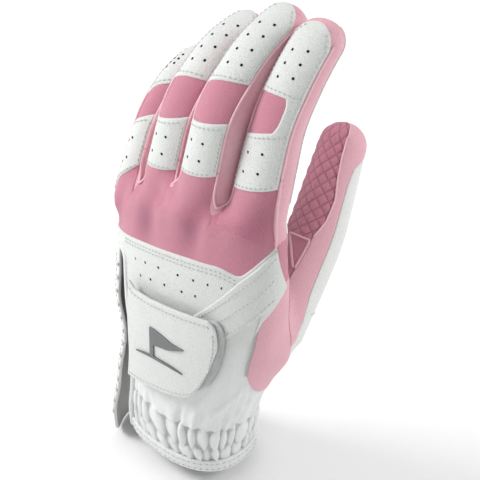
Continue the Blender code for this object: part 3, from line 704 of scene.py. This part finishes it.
def build_overlays(name, sleeve):
    """White perforated overlays on the back of one finger, with their stitches and holes."""
    bottom, top, distal = OVERLAY[name]
    left, right = OVERLAY_SIDES[name]
    mid = (left + right) / 2
    tip_s = sleeve.length - 4.0
    near_place, far_place = overlay_places(name)

    def overlay(label, p0, p1, low, high, nu, nv, place, off=OVERLAY_LIFT, rims=ALL_RIMS, nodes=()):
        grid, outward = tube_grid(sleeve, p0, p1, low, high, nu, nv)
        obj = thin_sheet(f"{name}_{label}", grid, outward, "white", off, 0.75, rims, round_=0.45)
        move(obj, place, *nodes)

    def line(phi, s):
        return surface(sleeve.shape, phi, s, OVERLAY_LIFT)

    near_node, far_node = [f"{name}_proximal_back"], [f"{name}_distal_back"]
    low, high = slanted(bottom), slanted(top)
    overlay("proximal_overlay", left, right, low, high, 30, 24, near_place, nodes=near_node)
    p0, p1 = round_tip(left, right)
    overlay("distal_overlay", p0, p1, slanted(distal), flat(tip_s), 30, 46, far_place, nodes=far_node)
    if name == "index":
        inner = lambda v: 27 - 17 * np.abs(2 * v - 1) ** 3.2
        low, high = slanted(top, -1.2), slanted(distal, 1.2)
        overlay("side_strip", inner, right, low, high, 20, 34, far_place, 0.565, SIDE_RIMS)
    phis = left + (right - left) * np.linspace(0.06, 0.94, 40)
    near = [line(phis, slanted(bottom, 1.3)(phis)), line(phis, slanted(top, -1.3)(phis))]
    for phi in (left + 7, right - 7) if name == "index" else (right - 7,):
        near.append(line(phi, np.linspace(slanted(bottom, 1.6)(phi), slanted(top, -1.6)(phi), 40)))
    move(stitches(f"{name}_proximal_stitches", near), near_place)
    far = [line(phis, slanted(distal, 1.4)(phis))]
    v = np.linspace(0.05, 0.985, 90)
    for edge in (p0, p1):
        phi = mid + (edge(v) - mid) * 0.86
        start = slanted(distal)(phi)
        far.append(line(phi, start + (tip_s - 0.9 - start) * v))
    move(stitches(f"{name}_distal_stitches", far), far_place)
    if name == "index":
        s = np.linspace(slanted(top, -6)(50.0), slanted(distal, 5)(50.0), 40)
        move(stitches("index_strip_stitches", [line(50.0, s)]), far_place)
    build_holes(name, sleeve)


def build_holes(name, sleeve):
    """Punched holes: two columns of two on the near overlay, two columns on the far one."""
    bottom, top, distal = OVERLAY[name]
    columns = {"index": (-26, 10), "middle": (-26, 8), "ring": (-30, 4), "little": (-42, -16)}[name]
    count = {"index": 3, "middle": 4, "ring": 4, "little": 3}[name]
    first = slanted(distal, 5.2)(0)
    gap = (sleeve.length - 9.5 - first) / count
    near, far = [], []
    for phi, shift in zip(columns, (0.0, 1.6)):
        start, stop = slanted(bottom)(phi), slanted(top)(phi)
        near += zip(*surface(sleeve.shape, phi, start + (stop - start) * np.array((0.33, 0.68)), OVERLAY_LIFT))
        far += zip(*surface(sleeve.shape, phi + 4, first + np.arange(count) * gap + shift, OVERLAY_LIFT))
    for label, spots, place in zip(("near", "far"), (near, far), overlay_places(name)):
        move(holes(f"{name}_{label}_holes", spots), place)


def build_piping(name, sleeve):
    """Pale piping that edges the pink sides, from the crotches up, and the seams of the palm leather."""
    left, right = OVERLAY_SIDES[name]
    lower, upper, _ = finger_places(name)
    lows = {"index": (-8, -3), "middle": (-3, 0), "ring": (1, 2), "little": (9, -4)}[name]
    crotches = {}
    for (thumb_side, other), place in WEBS.items():
        if thumb_side == name:
            crotches["ulnar"] = np.array(place)
        if other == name:
            crotches["radial"] = np.array(place)
    for side, phi, low in (("radial", right + 3, lows[0]), ("ulnar", left - 4, lows[1])):
        turn = 20.0 if name == "index" and side == "radial" else 0.0
        s = np.linspace(low, FINGER_SPLIT, 30)
        base, outward = surface(sleeve.shape, phi + turn * np.clip((FINGER_SPLIT - s) / 26, 0, 1) ** 1.4, s)
        if side in crotches:
            w = np.clip(np.linspace(0, 1, 30) / 0.62, 0, 1)[:, None]
            w = w * w * (3 - 2 * w)
            base = crotches[side] * (1 - w) + base * w
            outward = outward * w + np.array((0, -0.75, 0.65)) * (1 - w)
        line = settle(base, outward, 3.0) + unit(outward) * 0.25
        move(rope(f"{name}_{side}_piping_lower", line, 0.5, "pipe"), lower)
        line, _ = surface(sleeve.shape, phi, np.linspace(FINGER_SPLIT, sleeve.length - 7, 50), 0.25)
        move(rope(f"{name}_{side}_piping_upper", line, 0.5, "pipe"), upper)
    for side, phi in zip(("radial", "ulnar"), PALM_SIDES):
        line, _ = surface(sleeve.shape, phi, np.linspace(6, FINGER_SPLIT, 14), 0.1, FINGER_SETTLE)
        move(rope(f"{name}_{side}_palm_seam_lower", line, 0.28, "palm"), lower)
        line, _ = surface(sleeve.shape, phi, np.linspace(FINGER_SPLIT, sleeve.length - 1.5, 60), 0.1)
        move(rope(f"{name}_{side}_palm_seam_upper", line, 0.28, "palm"), upper)


def build_webs():
    """Saddles of pink leather between the finger roots, let down onto the skin from above."""
    u = np.linspace(-1, 1, 21)[:, None]
    v = np.linspace(-1, 1, 31)[None, :]
    for (a, b), (x, y, z) in WEBS.items():
        base = np.stack(np.broadcast_arrays(x + 3.0 * u, y + 6.0 + 4.5 * v, z + 5.0), -1)
        up = np.zeros_like(base)
        up[..., 2] = 1.0
        t = np.zeros(base.shape[:2])
        for _ in range(14):
            t = np.clip(t - np.clip(skin_distance(base + up * t[..., None]), -1.2, 1.6), -16, -3.5)
        move(thin_sheet(f"web_{a}_{b}", base + up * t[..., None], up, "deep", -0.5, 0.7, NO_RIMS), "hand")


# ---------------------------------------------------------------- hand
# edges of the panels on the back of the hand as (angle, height)
KNUCKLE_LOW = (
    (177.3, 88), (240, 87.5), (266, 88), (300, 90), (315, 88.5), (348, 103.5), (363, 87), (382.2, 84)
)
BACK_LOW = ((177.3, 80), (230, 79.5), (234, 77), (237, 62), (326, 62), (338, 74), (362, 84))
WRIST_TOP = ((228, 66), (322, 70), (336, 79), (345, 70), (358, 52), (369, 46), (382.2, 47))
STRAP_TOP = ((283, 67.8), (315, 88.2), (348, 103.1), (362.5, 87.4))
STRAP_LOW = ((283, 59), (306, 64), (338, 78.4), (362.5, 86.2))
TAB_LEFT = 243.5
TAB_RIGHT = 303.0
TAB_TOP = (
    (243.5, 73), (250, 70.6), (262, 70.2), (285, 71.5), (296, 72.2), (300.5, 70.2), (302.3, 67.2), (303, 63)
)
TAB_LOW = (
    (243.5, 30.5), (262, 32.5), (284, 36.2), (290.5, 38.0), (294, 41), (297, 45.5), (300, 52), (302, 58),
    (303, 62),
)
LOOP_TOP = ((246, 66), (294, 70.5), (303, 71.8), (307, 70), (309, 66))
LOOP_LOW = ((246, 34), (290, 39), (300, 42.5), (306, 46), (308, 52), (309, 60))
# left edge of the pink side panel: (height, angle)
SIDE_LEFT = (
    (37, 370), (38.2, 360), (41, 350), (46, 339), (50.5, 332.5), (56, 331.5), (70.5, 334), (77.5, 338),
    (88, 346),
)
# angles where the panels on the back start, on the little-finger side, and end at the palm leather
BACK_START = 177.3
BACK_END = 382.4
CUFF_END = 509
# angle, height, slant and depth of each slack fold below the tab
FOLDS = (
    (256, 29, 0.55, 0.9), (272, 27, 0.35, 0.8), (300, 31, -0.2, 0.8), (322, 33, -0.6, 0.7),
    (346, 30, -0.8, 0.5),
)


def gather(u, h):
    """Relief of the shirred cuff: two rows of staggered leaf-like puckers that lean a little."""
    relief = np.zeros(np.shape(u))
    for low, high, shift, amount in ((4.4, 11.4, 0.5, 1.2), (9.8, 20.6, 0.0, 1.65)):
        top = high + 0.6 * np.sin(u * 0.29 + 3 * shift) + 0.3 * np.sin(u * 0.83)
        v = np.clip((h - low) / (top - low), 0, 1)
        lean = 0.6 * (v - 0.5) * np.clip((345 - u) / 60, -0.4, 1)
        c = u / 11.4 + shift + lean + 0.16 * np.sin(u * 0.13 + shift * 5) + 0.07 * np.sin(u * 0.41 + 2)
        cell = np.floor(c)
        f = np.abs(2 * (c - cell) ** 1.15 - 1)
        width = np.sin(math.pi * np.clip(v**1.1 * 0.94 + 0.03, 0, 1)) ** 0.5
        lens = np.clip(1 - (f / np.maximum(width, 0.05)) ** 2, 0, 1) ** 0.6 * width
        lens = lens * (0.8 + 0.22 * np.sin(cell * 2.3 + shift * 7)) * np.clip((1 - v) / 0.08, 0, 1)
        lens = lens * (0.6 + 0.4 * np.clip((u - 232) / 30, 0, 1))
        relief = np.maximum(relief, amount * lens)
    return relief


def wrinkles(u, h):
    """Folds that fan up the wrist from the gathers, and slack under the tab."""
    fade = np.exp(-np.maximum(h - 20, 0) / 13.0)
    c = u / 11.4 + 0.16 * np.sin(u * 0.13) + 0.07 * np.sin(u * 0.41 + 2) + 0.02 * (h - 20)
    folds = np.sin(math.tau * (c - 0.25)) * 0.42 + 0.32 * np.sin(math.tau * c * 0.5 + 1.0)
    folds = folds * (0.35 + 0.65 * np.clip((u - 236) / 34, 0, 1))
    slack = np.zeros(np.shape(u))
    for cu, ch, tilt, amount in FOLDS:
        across = (u - cu) * 0.42 + (h - ch) * tilt
        slack = slack + amount * np.exp(-((across / 2.1) ** 2) - ((h - ch) / 11.0) ** 2)
    return fade * folds + slack


def panel(name, grid, outward, mat, off, thick, rims=ALL_RIMS, bump=0.0, **more):
    """Sheet that rides on the hand and stands for the CAD node of the same name."""
    move(thin_sheet(name, grid, outward, mat, off, thick, rims, bump, **more), "hand", name)


def build_cuff():
    """Hem band and shirred band round the hand opening."""
    grid, outward, u, _ = hand_grid(229.6, CUFF_END, flat(0.15), flat(5.2), 260, 10)
    panel("cuff_hem", grid, outward, "wrist", 0.35, 1.6, bump=0.12 * np.sin(u * 1.9) + 0.05 * np.sin(u * 5.1))
    grid, outward, u, h = hand_grid(lambda v: 229.7 + 1.3 * v, CUFF_END, flat(4.9), flat(21.0), 420, 44)
    relief = gather(u, h)
    # painted shade: the valleys between the puckers are darkened in colour
    shade = 0.75 * np.clip(1 - relief / 0.9, 0, 1) ** 1.5
    panel("cuff_gather", grid, outward, "wrist", -0.85, 1.2, SIDE_RIMS, relief, tint=shade)
    us = np.linspace(231, 506, 400)
    lines = [hand_line(us, height, 0.35) for height in (1.5, 3.9)]
    move(stitches("hem_stitches", lines, "thread", 2.1, 1.5, 0.17), "hand")


def build_back():
    """Back of the hand: wrist panel, perforated panel, knuckle knit, side panel, strap and loop patch."""
    left, top = lambda v: 231 + 4.5 * v, table_edge(WRIST_TOP)
    grid, outward, u, h = hand_grid(left, BACK_END, flat(20.2), top, 190, 64)
    relief = wrinkles(u, h) * np.clip((60 - h) / 10, 0, 1) + gather(u, h)
    panel("wrist_back_panel", grid, outward, "wrist", -0.35, 0.8, (1, 1, 0, 1), relief)
    smooth = smooth_edge(KNUCKLE_LOW)
    grid, outward, _, _ = hand_grid(BACK_START, 362, table_edge(BACK_LOW), lambda u: smooth(u) + 1.2, 130, 26)
    panel("perforated_back_panel", grid, outward, "white", 0.5, 0.8)
    top = flat(HAND_TOP + 2.0)
    grid, outward, _, h = hand_grid(BACK_START, BACK_END, lambda u: smooth(u) - 0.8, top, 190, 50)
    dip = hollow(grid)
    fall = -0.5 * np.clip((h - HAND_TOP + 5) / 7, 0, 1) ** 1.5 - HOLLOW_DEPTH * dip
    # painted shade: the knuckle hollows are darkened in colour as well as sunk
    tint = np.clip(dip, 0, 1) * HOLLOW_PAINTED_SHADE
    panel("knuckle_panel", grid, outward, "knit", 0.12, 0.9, SIDE_RIMS, fall, tint=tint)
    left = smooth_edge(SIDE_LEFT)
    grid, outward, _, _ = hand_grid(lambda v: left(37 + 51 * v), BACK_END, flat(37), flat(88), 60, 70)
    panel("thumb_side_panel", grid, outward, "pink", 0.35, 0.9)
    line, _ = hand_line(379.0, np.linspace(57.5, 84.5, 50), 0.33)
    move(rope("side_seam", line, 0.2, "deep"), "hand")
    grid, outward, _, _ = hand_grid(283, 362.5, table_edge(STRAP_LOW), table_edge(STRAP_TOP), 100, 26)
    panel("diagonal_strap", grid, outward, "white", 1.25, 0.9)
    grid, outward, _, _ = hand_grid(252, 309, smooth_edge(LOOP_LOW), smooth_edge(LOOP_TOP), 90, 40, False)
    pile = 0.06 * RNG.standard_normal(grid.shape[:2])
    panel("loop_patch", grid, outward, "pile", 2.55, 1.5, bump=pile)
    build_back_stitches()


def build_back_stitches():
    """Stitch rows and holes on the back of the hand."""
    us = np.linspace(233, 314, 160)
    smooth = smooth_edge(KNUCKLE_LOW)
    lines = [hand_line(us, smooth(us) - 0.4, 0.5), hand_line(us, smooth(us) - 1.9, 0.5)]
    move(stitches("back_panel_stitches", lines), "hand")
    us = np.linspace(286, 349, 160)
    low, high = table_edge(STRAP_LOW)(us), table_edge(STRAP_TOP)(us)
    rows = [hand_line(us, low + (high - low) * share, 1.25) for share in (0.12, 0.5, 0.88)]
    move(stitches("strap_stitches", rows), "hand")
    spots = []
    for first, last, count, h0, h1 in ((247, 303, 7, 80.5, 84.0), (252, 286, 5, 74.6, 77.2)):
        spots += zip(*hand_line(np.linspace(first, last, count), np.linspace(h0, h1, count), 0.5))
    move(holes("back_panel_holes", spots), "hand")
    hs = 50 + 27 * np.linspace(0, 1, 60)
    zig = hand_line(table_edge(SIDE_LEFT)(hs) - 1.4, hs, 0.3)
    move(stitches("side_seam_zigzag", [zig], "thread", 0.95, 1.5, 0.16, 0.1, 0.9), "hand")
    move(stitches("side_seam_zigzag_back", [zig], "thread", 0.95, 1.5, 0.16, 0.1, -0.9), "hand")


def flap_lift(h, ease=1.0):
    """Distance of the loose heel flap from the hand: it flares to the hem and waves along its free edge."""
    flare = 0.5 + 5.6 * (1 - h / 82)
    return ease * flare + 0.45 * np.sin(h / 9.0) * ease + 0.3 * np.sin(h / 4.3 + 1) * ease**3


def build_palm():
    """White palm leather with the hole for the thumb, and the loose heel flap beside the slit."""
    grid, outward, u, h = hand_grid(22.6, 177, flat(20.2), flat(HAND_TOP + 1.6), 150, 100)
    clear_of_thumb = THUMB.distance(hand_shape(u, h))[:-1, :-1] > -2.0
    below_flap = (u[:-1, :-1] > 151) & (h[:-1, :-1] < 80.5)
    creases = -0.35 * np.exp(-(((h - 66 - 0.10 * (u - 90)) / 1.1) ** 2)) * (u > 60)
    creases += -0.35 * np.exp(-(((h - 84 - 0.08 * (u - 60)) / 1.1) ** 2)) * (u > 75)
    relief = creases + gather(u, h) * np.clip(1 - (h - 20) / 4, 0, 1)
    keep = clear_of_thumb & ~below_flap
    panel("palm_panel", grid, outward, "palm", 0.0, 0.9, SIDE_RIMS, relief, keep=keep)
    u = (150.5 + (225 - 150.5) * spaced(60))[:, None]
    low = -6.0 + 9.0 * np.clip(np.abs(u - 200) / 28 - 0.3, 0, 1) ** 1.8
    h = low + (81.8 - low) * spaced(80)[None, :]
    lift = flap_lift(h, np.clip((u - 150) / 40, 0, 1))
    panel("heel_flap", *above_hand(u, h, lift), "palm", 0.0, 1.2)
    hs = np.linspace(3, 79, 160)
    line, outward = above_hand(223.6, hs, flap_lift(hs))
    move(stitches("flap_edge_stitches", [(line, outward)], "thread", 5.2, 3.0, 0.42, 0.05, 1.2), "hand")
    line = hand_shape(217.5, hs, flap_lift(hs))
    move(stitches("flap_inner_stitches", [(line, outward)], "thread", 2.0, 1.4, 0.18), "hand")


def build_slit():
    """Bound edge of the slit, round its top and down the wrist panel."""
    straight = np.linspace(0.5, 76, 90)
    turn = np.linspace(0, math.pi / 2, 12)[1:]
    hs = np.concatenate([straight, 76 + 5.5 * np.sin(turn)])
    us = np.concatenate([228.4 + 5.4 * np.clip(straight / 70, 0, 1), 233.8 - 9 * (1 - np.cos(turn))])
    line, _ = hand_line(us, hs, 0.1)
    move(rope("slit_binding", line, 1.05, "wrist", 12), "hand", "slit_binding")
    line = hand_line(us[:-6] + 2.6, hs[:-6], 0.35)
    move(stitches("slit_stitches", [line], "thread", 1.9, 1.35, 0.18), "hand")


def tab_lean(u, h):
    """Shift in angle that keeps the tab's left edge upright while the hand widens."""
    return np.clip((TAB_RIGHT - u) / 60, 0, 1) ** 1.5 * (h - 34) * 0.16


def tab_grid(u0, u1, low, high, share, nv, layer):
    """Grid of one layer of the tab, whose share gives the places of its columns."""
    u = (u0 + (u1 - u0) * share)[:, None]
    h = low(u) + (high(u) - low(u)) * spaced(nv)[None, :]
    u = u + tab_lean(u, h)
    return *above_hand(u, h, layer), u, h


def build_tab():
    """Closure tab with stitched border, its hook pad, the strip at its hinge and the emblem."""
    low, high = smooth_edge(TAB_LOW), smooth_edge(TAB_TOP)
    share = 1.35 * spaced(130) - 0.35 * spaced(130) ** 4
    grid, outward, u, h = tab_grid(TAB_LEFT, TAB_RIGHT, low, high, share, 60, 4.2)
    puff = 0.25 * np.exp(-(((h - 50) / 16) ** 2 + ((u - 268) / 26) ** 2))
    tab = thin_sheet("tab_cover", grid, outward, "white", 0.0, 1.0, bump=puff, round_=0.5)
    move(tab, "closure_tab", "tab_cover")
    grid, outward, _, _ = tab_grid(251, 298, lambda u: low(u) + 4, lambda u: high(u) - 5, spaced(40), 30, 3.15)
    pile = 0.05 * RNG.standard_normal(grid.shape[:2])
    move(thin_sheet("hook_patch", grid, outward, "pile", 0.0, 0.3, bump=pile), "closure_tab", "hook_patch")
    grid, outward, u, _ = tab_grid(238, 254, lambda u: low(u) + 5, lambda u: high(u) - 8, spaced(24), 40, 1.7)
    rise = 1.4 * np.clip((u - 240) / 14, 0, 1)
    hinge = thin_sheet("tab_hinge", grid, outward, "wrist", 0.0, 0.8, bump=rise)
    move(hinge, ("hand", "closure_tab", *hand_shape(np.array([236.0, 247.0]), 50.0, 3.0)))
    us = np.linspace(TAB_LEFT + 1, 299.5, 160)
    lines = [above_hand(us + tab_lean(us, hs), hs, 4.25) for hs in (high(us) - 1.9, low(us) + 1.9)]
    hs = np.linspace(low(299.5) + 1.9, high(299.5) - 1.9, 60)
    lines.append(above_hand(299.5 + 1.2 * np.sin(np.linspace(0, math.pi, 60)), hs, 4.25))
    move(stitches("tab_stitches", lines), "closure_tab")
    build_emblem()


def build_emblem():
    """Raised golf-flag sign: ground line, pole and pennant as one smooth outline."""
    ground = lambda x: -3.4 - 0.035 * (x + 0.5) ** 2
    outline = [(x, ground(x) - 0.9 + 0.018 * (x + 0.5) ** 2) for x in np.linspace(-6.5, 5.8, 12)]
    outline += [(x, ground(x)) for x in np.linspace(5.8, -1.0, 7)]
    outline += [(-1.0, 0.4), (2.0, 1.1), (5.6, 2.9), (2.4, 3.6), (-1.0, 5.4), (-1.9, 5.4)]
    outline += [(x, ground(x)) for x in np.linspace(-1.9, -6.5, 6)]
    corners = np.array(outline)
    steps = np.array((0, 0.33, 0.67))[None, :, None]
    line = (corners[:, None] + (np.roll(corners, -1, axis=0) - corners)[:, None] * steps).reshape(-1, 2)
    across, up = line.T
    verts = [
        hand_shape(270.5 + across * 2.35 * shrink, 52.8 + up * 1.3 * shrink + 0.12 * across, out)
        for out, shrink in ((4.1, 1.0), (4.75, 1.0), (4.95, 0.965))
    ]
    obj = make("tab_emblem", np.concatenate(verts), ring_faces(0, len(verts), len(line)), "emblem", False)
    move(obj, "closure_tab", "tab_emblem")


# ---------------------------------------------------------------- thumb
# edges of the quilted side and of the pink band as (distance, angle)
QUILT_EDGE = ((14, -14), (20.6, -12), (32.5, -9), (39.4, 6), (47, 12), (55, 4), (62, 0), (74, 0))
BAND_EDGE = (
    (-6, 48), (0, 48), (5.7, 46), (15.4, 34), (26.4, 30), (42, 30), (53, 31), (59.5, 38), (66, 90), (74, 110)
)
THUMB_PALM_END = 244.0
THUMB_SPLIT = 31.5
QUILT_PITCH = 4.6
GUSSET = (20.6, 31.6)


def quilting(phi, s):
    """Diamond quilting pressed into the thumb's web side."""
    across = np.radians(phi) * 9.6
    a = np.abs(np.sin(math.pi * (across + s) / QUILT_PITCH))
    b = np.abs(np.sin(math.pi * (across - s) / QUILT_PITCH))
    return 0.6 * (np.minimum(a, b) ** 0.5 - 0.6)


def thumb_line(phi, s, lift):
    """Line on the thumb, settled on the skin, with outward directions."""
    return surface(THUMB.shape, phi, s, lift, THUMB_SETTLE)


def build_thumb():
    """Quilted web side, pink band, white palm side, web gusset and their seams."""
    lower, upper, _ = bend_places("thumb", THUMB, THUMB_KNUCKLE, 6.0, THUMB_MIDDLE)
    full = THUMB_TIP - 0.05
    quilt_edge, band_edge = table_edge(QUILT_EDGE), table_edge(BAND_EDGE)
    left, end = flat(THUMB_PALM_END - 360 + 1.0), flat(THUMB_PALM_END)
    quilt_right = lambda s: quilt_edge(s) - 0.8
    palm_start = lambda s: band_edge(s) + 1.0
    gusset_left = lambda s: np.interp(s, GUSSET, (-15, -54))
    gusset_right = lambda s: np.interp(s, GUSSET, (-13, -11))

    def part(name, low_edge, high_edge, s0, s1, nu, nv, mat, place, off, rims, *nodes):
        s = (s0 + (s1 - s0) * spaced(nv))[None, :]
        phi = low_edge(s) + (high_edge(s) - low_edge(s)) * spaced(nu)[:, None]
        grid, outward = surface(THUMB.shape, phi, s, most=THUMB_SETTLE if place is lower else 0.0)
        quilted = name == "thumb_quilt_upper"
        bump = quilting(phi, s) if quilted else 0.0
        # painted shade: the grooves of the quilting are darkened in colour
        tint = 0.7 * np.clip(-bump / 0.36, 0, 1) if quilted else None
        move(thin_sheet(name, grid, outward, mat, off, 0.9, rims, bump, tint=tint), place, *nodes)

    side, rims, split, node_name = SIDE_RIMS, (1, 1, 1, 0), THUMB_SPLIT, "thumb_proximal_quilt"
    part("thumb_quilt_lower", left, quilt_right, 8, split, 50, 30, "deep", lower, 0.1, side, node_name)
    top, node_name = full - 0.3, "thumb_distal_quilt"
    part("thumb_quilt_upper", left, quilt_right, split, top, 90, 110, "deep", upper, 0.1, rims, node_name)
    nodes = ("thumb_root_back", "thumb_proximal_band")
    part("thumb_band_lower", quilt_edge, band_edge, -5, split, 40, 50, "pink", lower, 0.3, rims, *nodes)
    nodes = ("thumb_distal_band",)
    part("thumb_band_upper", quilt_edge, band_edge, split, full, 50, 70, "pink", upper, 0.3, side, *nodes)
    nodes = ("thumb_root_palm", "thumb_proximal_palm")
    part("thumb_palm_lower", palm_start, end, -7, split, 70, 50, "palm", lower, 0.2, rims, *nodes)
    nodes = ("thumb_distal_palm",)
    part("thumb_palm_upper", palm_start, end, split, full, 60, 60, "palm", upper, 0.2, side, *nodes)
    s0, s1, edges = GUSSET[0] + 0.2, GUSSET[1], (gusset_left, gusset_right)
    part("web_gusset", *edges, s0, s1, 24, 24, "deep", lower, 0.55, ALL_RIMS, "web_gusset")
    s = np.linspace(s0, s1, 30)
    for label, phi, along in (
        ("left", gusset_left(s), s), ("right", gusset_right(s), s), ("top", np.linspace(-54, -11, 30), s1)
    ):
        move(rope(f"gusset_{label}_piping", thumb_line(phi, along, 0.6)[0], 0.45, "pink"), lower)
    s = np.linspace(21.5, 31.0, 40)
    lines = [thumb_line(gusset_left(s) - 2, s, 0.2), thumb_line(gusset_right(s) + 2, s, 0.45)]
    lines.append(thumb_line(np.linspace(-52, -12, 30), 32.6, 0.3))
    move(stitches("gusset_stitches", lines, "pink_thread", 1.5, 1.1, 0.22), lower)
    phi = np.linspace(58, 236, 90)
    seam = thumb_line(phi, 9.5 + 3.0 * np.sin(np.radians(phi - 58)), 0.25)
    move(stitches("thumb_root_stitches", [seam], "thread", 1.7, 1.2, 0.22), lower)
    s = np.linspace(14, 66, 60)
    line = THUMB.shape(THUMB_PALM_END + 0.5, s[s >= THUMB_SPLIT], 0.25)
    move(rope("thumb_palm_seam", line, 0.34, "palm"), upper)
    s = np.linspace(33, 68, 60)
    move(rope("thumb_quilt_piping", thumb_line(quilt_edge(s), s, 0.28)[0], 0.32, "pipe"), upper)


# ---------------------------------------------------------------- stage
FLOOR_SIZE = 3.0
FLOOR_LEVEL = -0.0068


def look_at(obj, target):
    """Turns an object's -Z axis towards a point."""
    direction = np.array(target, float) - np.array(obj.location)
    obj.rotation_euler = Vector(direction).to_track_quat("-Z", "Y").to_euler()


def build_stage():
    """Pale floor, soft lights and the camera, in metres."""
    floor = bpy.data.meshes.new("floor")
    corners = [(x * FLOOR_SIZE, y * FLOOR_SIZE, FLOOR_LEVEL) for x, y in ((-1, -1), (1, -1), (1, 1), (-1, 1))]
    floor.from_pydata(corners, [], [(0, 1, 2, 3)])
    mat = bpy.data.materials.new("floor_white")
    mat.use_nodes = True
    mat.node_tree.nodes["Principled BSDF"].inputs["Base Color"].default_value = (0.93, 0.93, 0.93, 1)
    mat.node_tree.nodes["Principled BSDF"].inputs["Roughness"].default_value = 0.9
    floor.materials.append(mat)
    plane = bpy.data.objects.new("floor", floor)
    bpy.context.scene.collection.objects.link(plane)
    world = bpy.data.worlds.new("studio")
    world.use_nodes = True
    world.node_tree.nodes["Background"].inputs["Color"].default_value = (1, 1, 1, 1)
    world.node_tree.nodes["Background"].inputs["Strength"].default_value = 0.35
    bpy.context.scene.world = world
    for name, place, energy, width in (
        ("key", (-0.62, -0.42, 0.62), 8.0, 0.4),
        ("fill", (0.45, -0.75, 0.35), 1.1, 0.6),
        ("rim", (0.55, 0.55, 0.5), 4.5, 0.4),
        ("top", (-0.1, 0.1, 1.1), 3.0, 1.4),
    ):
        lamp = bpy.data.lights.new(name, "AREA")
        lamp.energy = energy
        lamp.size = width
        obj = bpy.data.objects.new(name, lamp)
        obj.location = place
        bpy.context.scene.collection.objects.link(obj)
        look_at(obj, (0, 0.01, 0.09))
    azimuth, elevation, distance = math.radians(44.5), math.radians(38.0), 0.710
    target = np.array((0.0, 0.0, 0.0978))
    level = math.cos(elevation)
    back = np.array((math.sin(azimuth) * level, -math.cos(azimuth) * level, math.sin(elevation)))
    camera = bpy.data.cameras.new("camera")
    camera.sensor_width = 36.0
    camera.lens = 160.35
    camera.shift_x = 0.0969
    camera.shift_y = -0.0527
    obj = bpy.data.objects.new("camera", camera)
    obj.location = tuple(target + back * distance)
    bpy.context.scene.collection.objects.link(obj)
    look_at(obj, target)
    bpy.context.scene.camera = obj
    bpy.context.scene.view_settings.view_transform = "Standard"


build_cuff()
build_back()
build_palm()
build_slit()
build_tab()
for finger in FINGERS:
    build_finger(finger)
build_webs()
build_thumb()
build_stage()
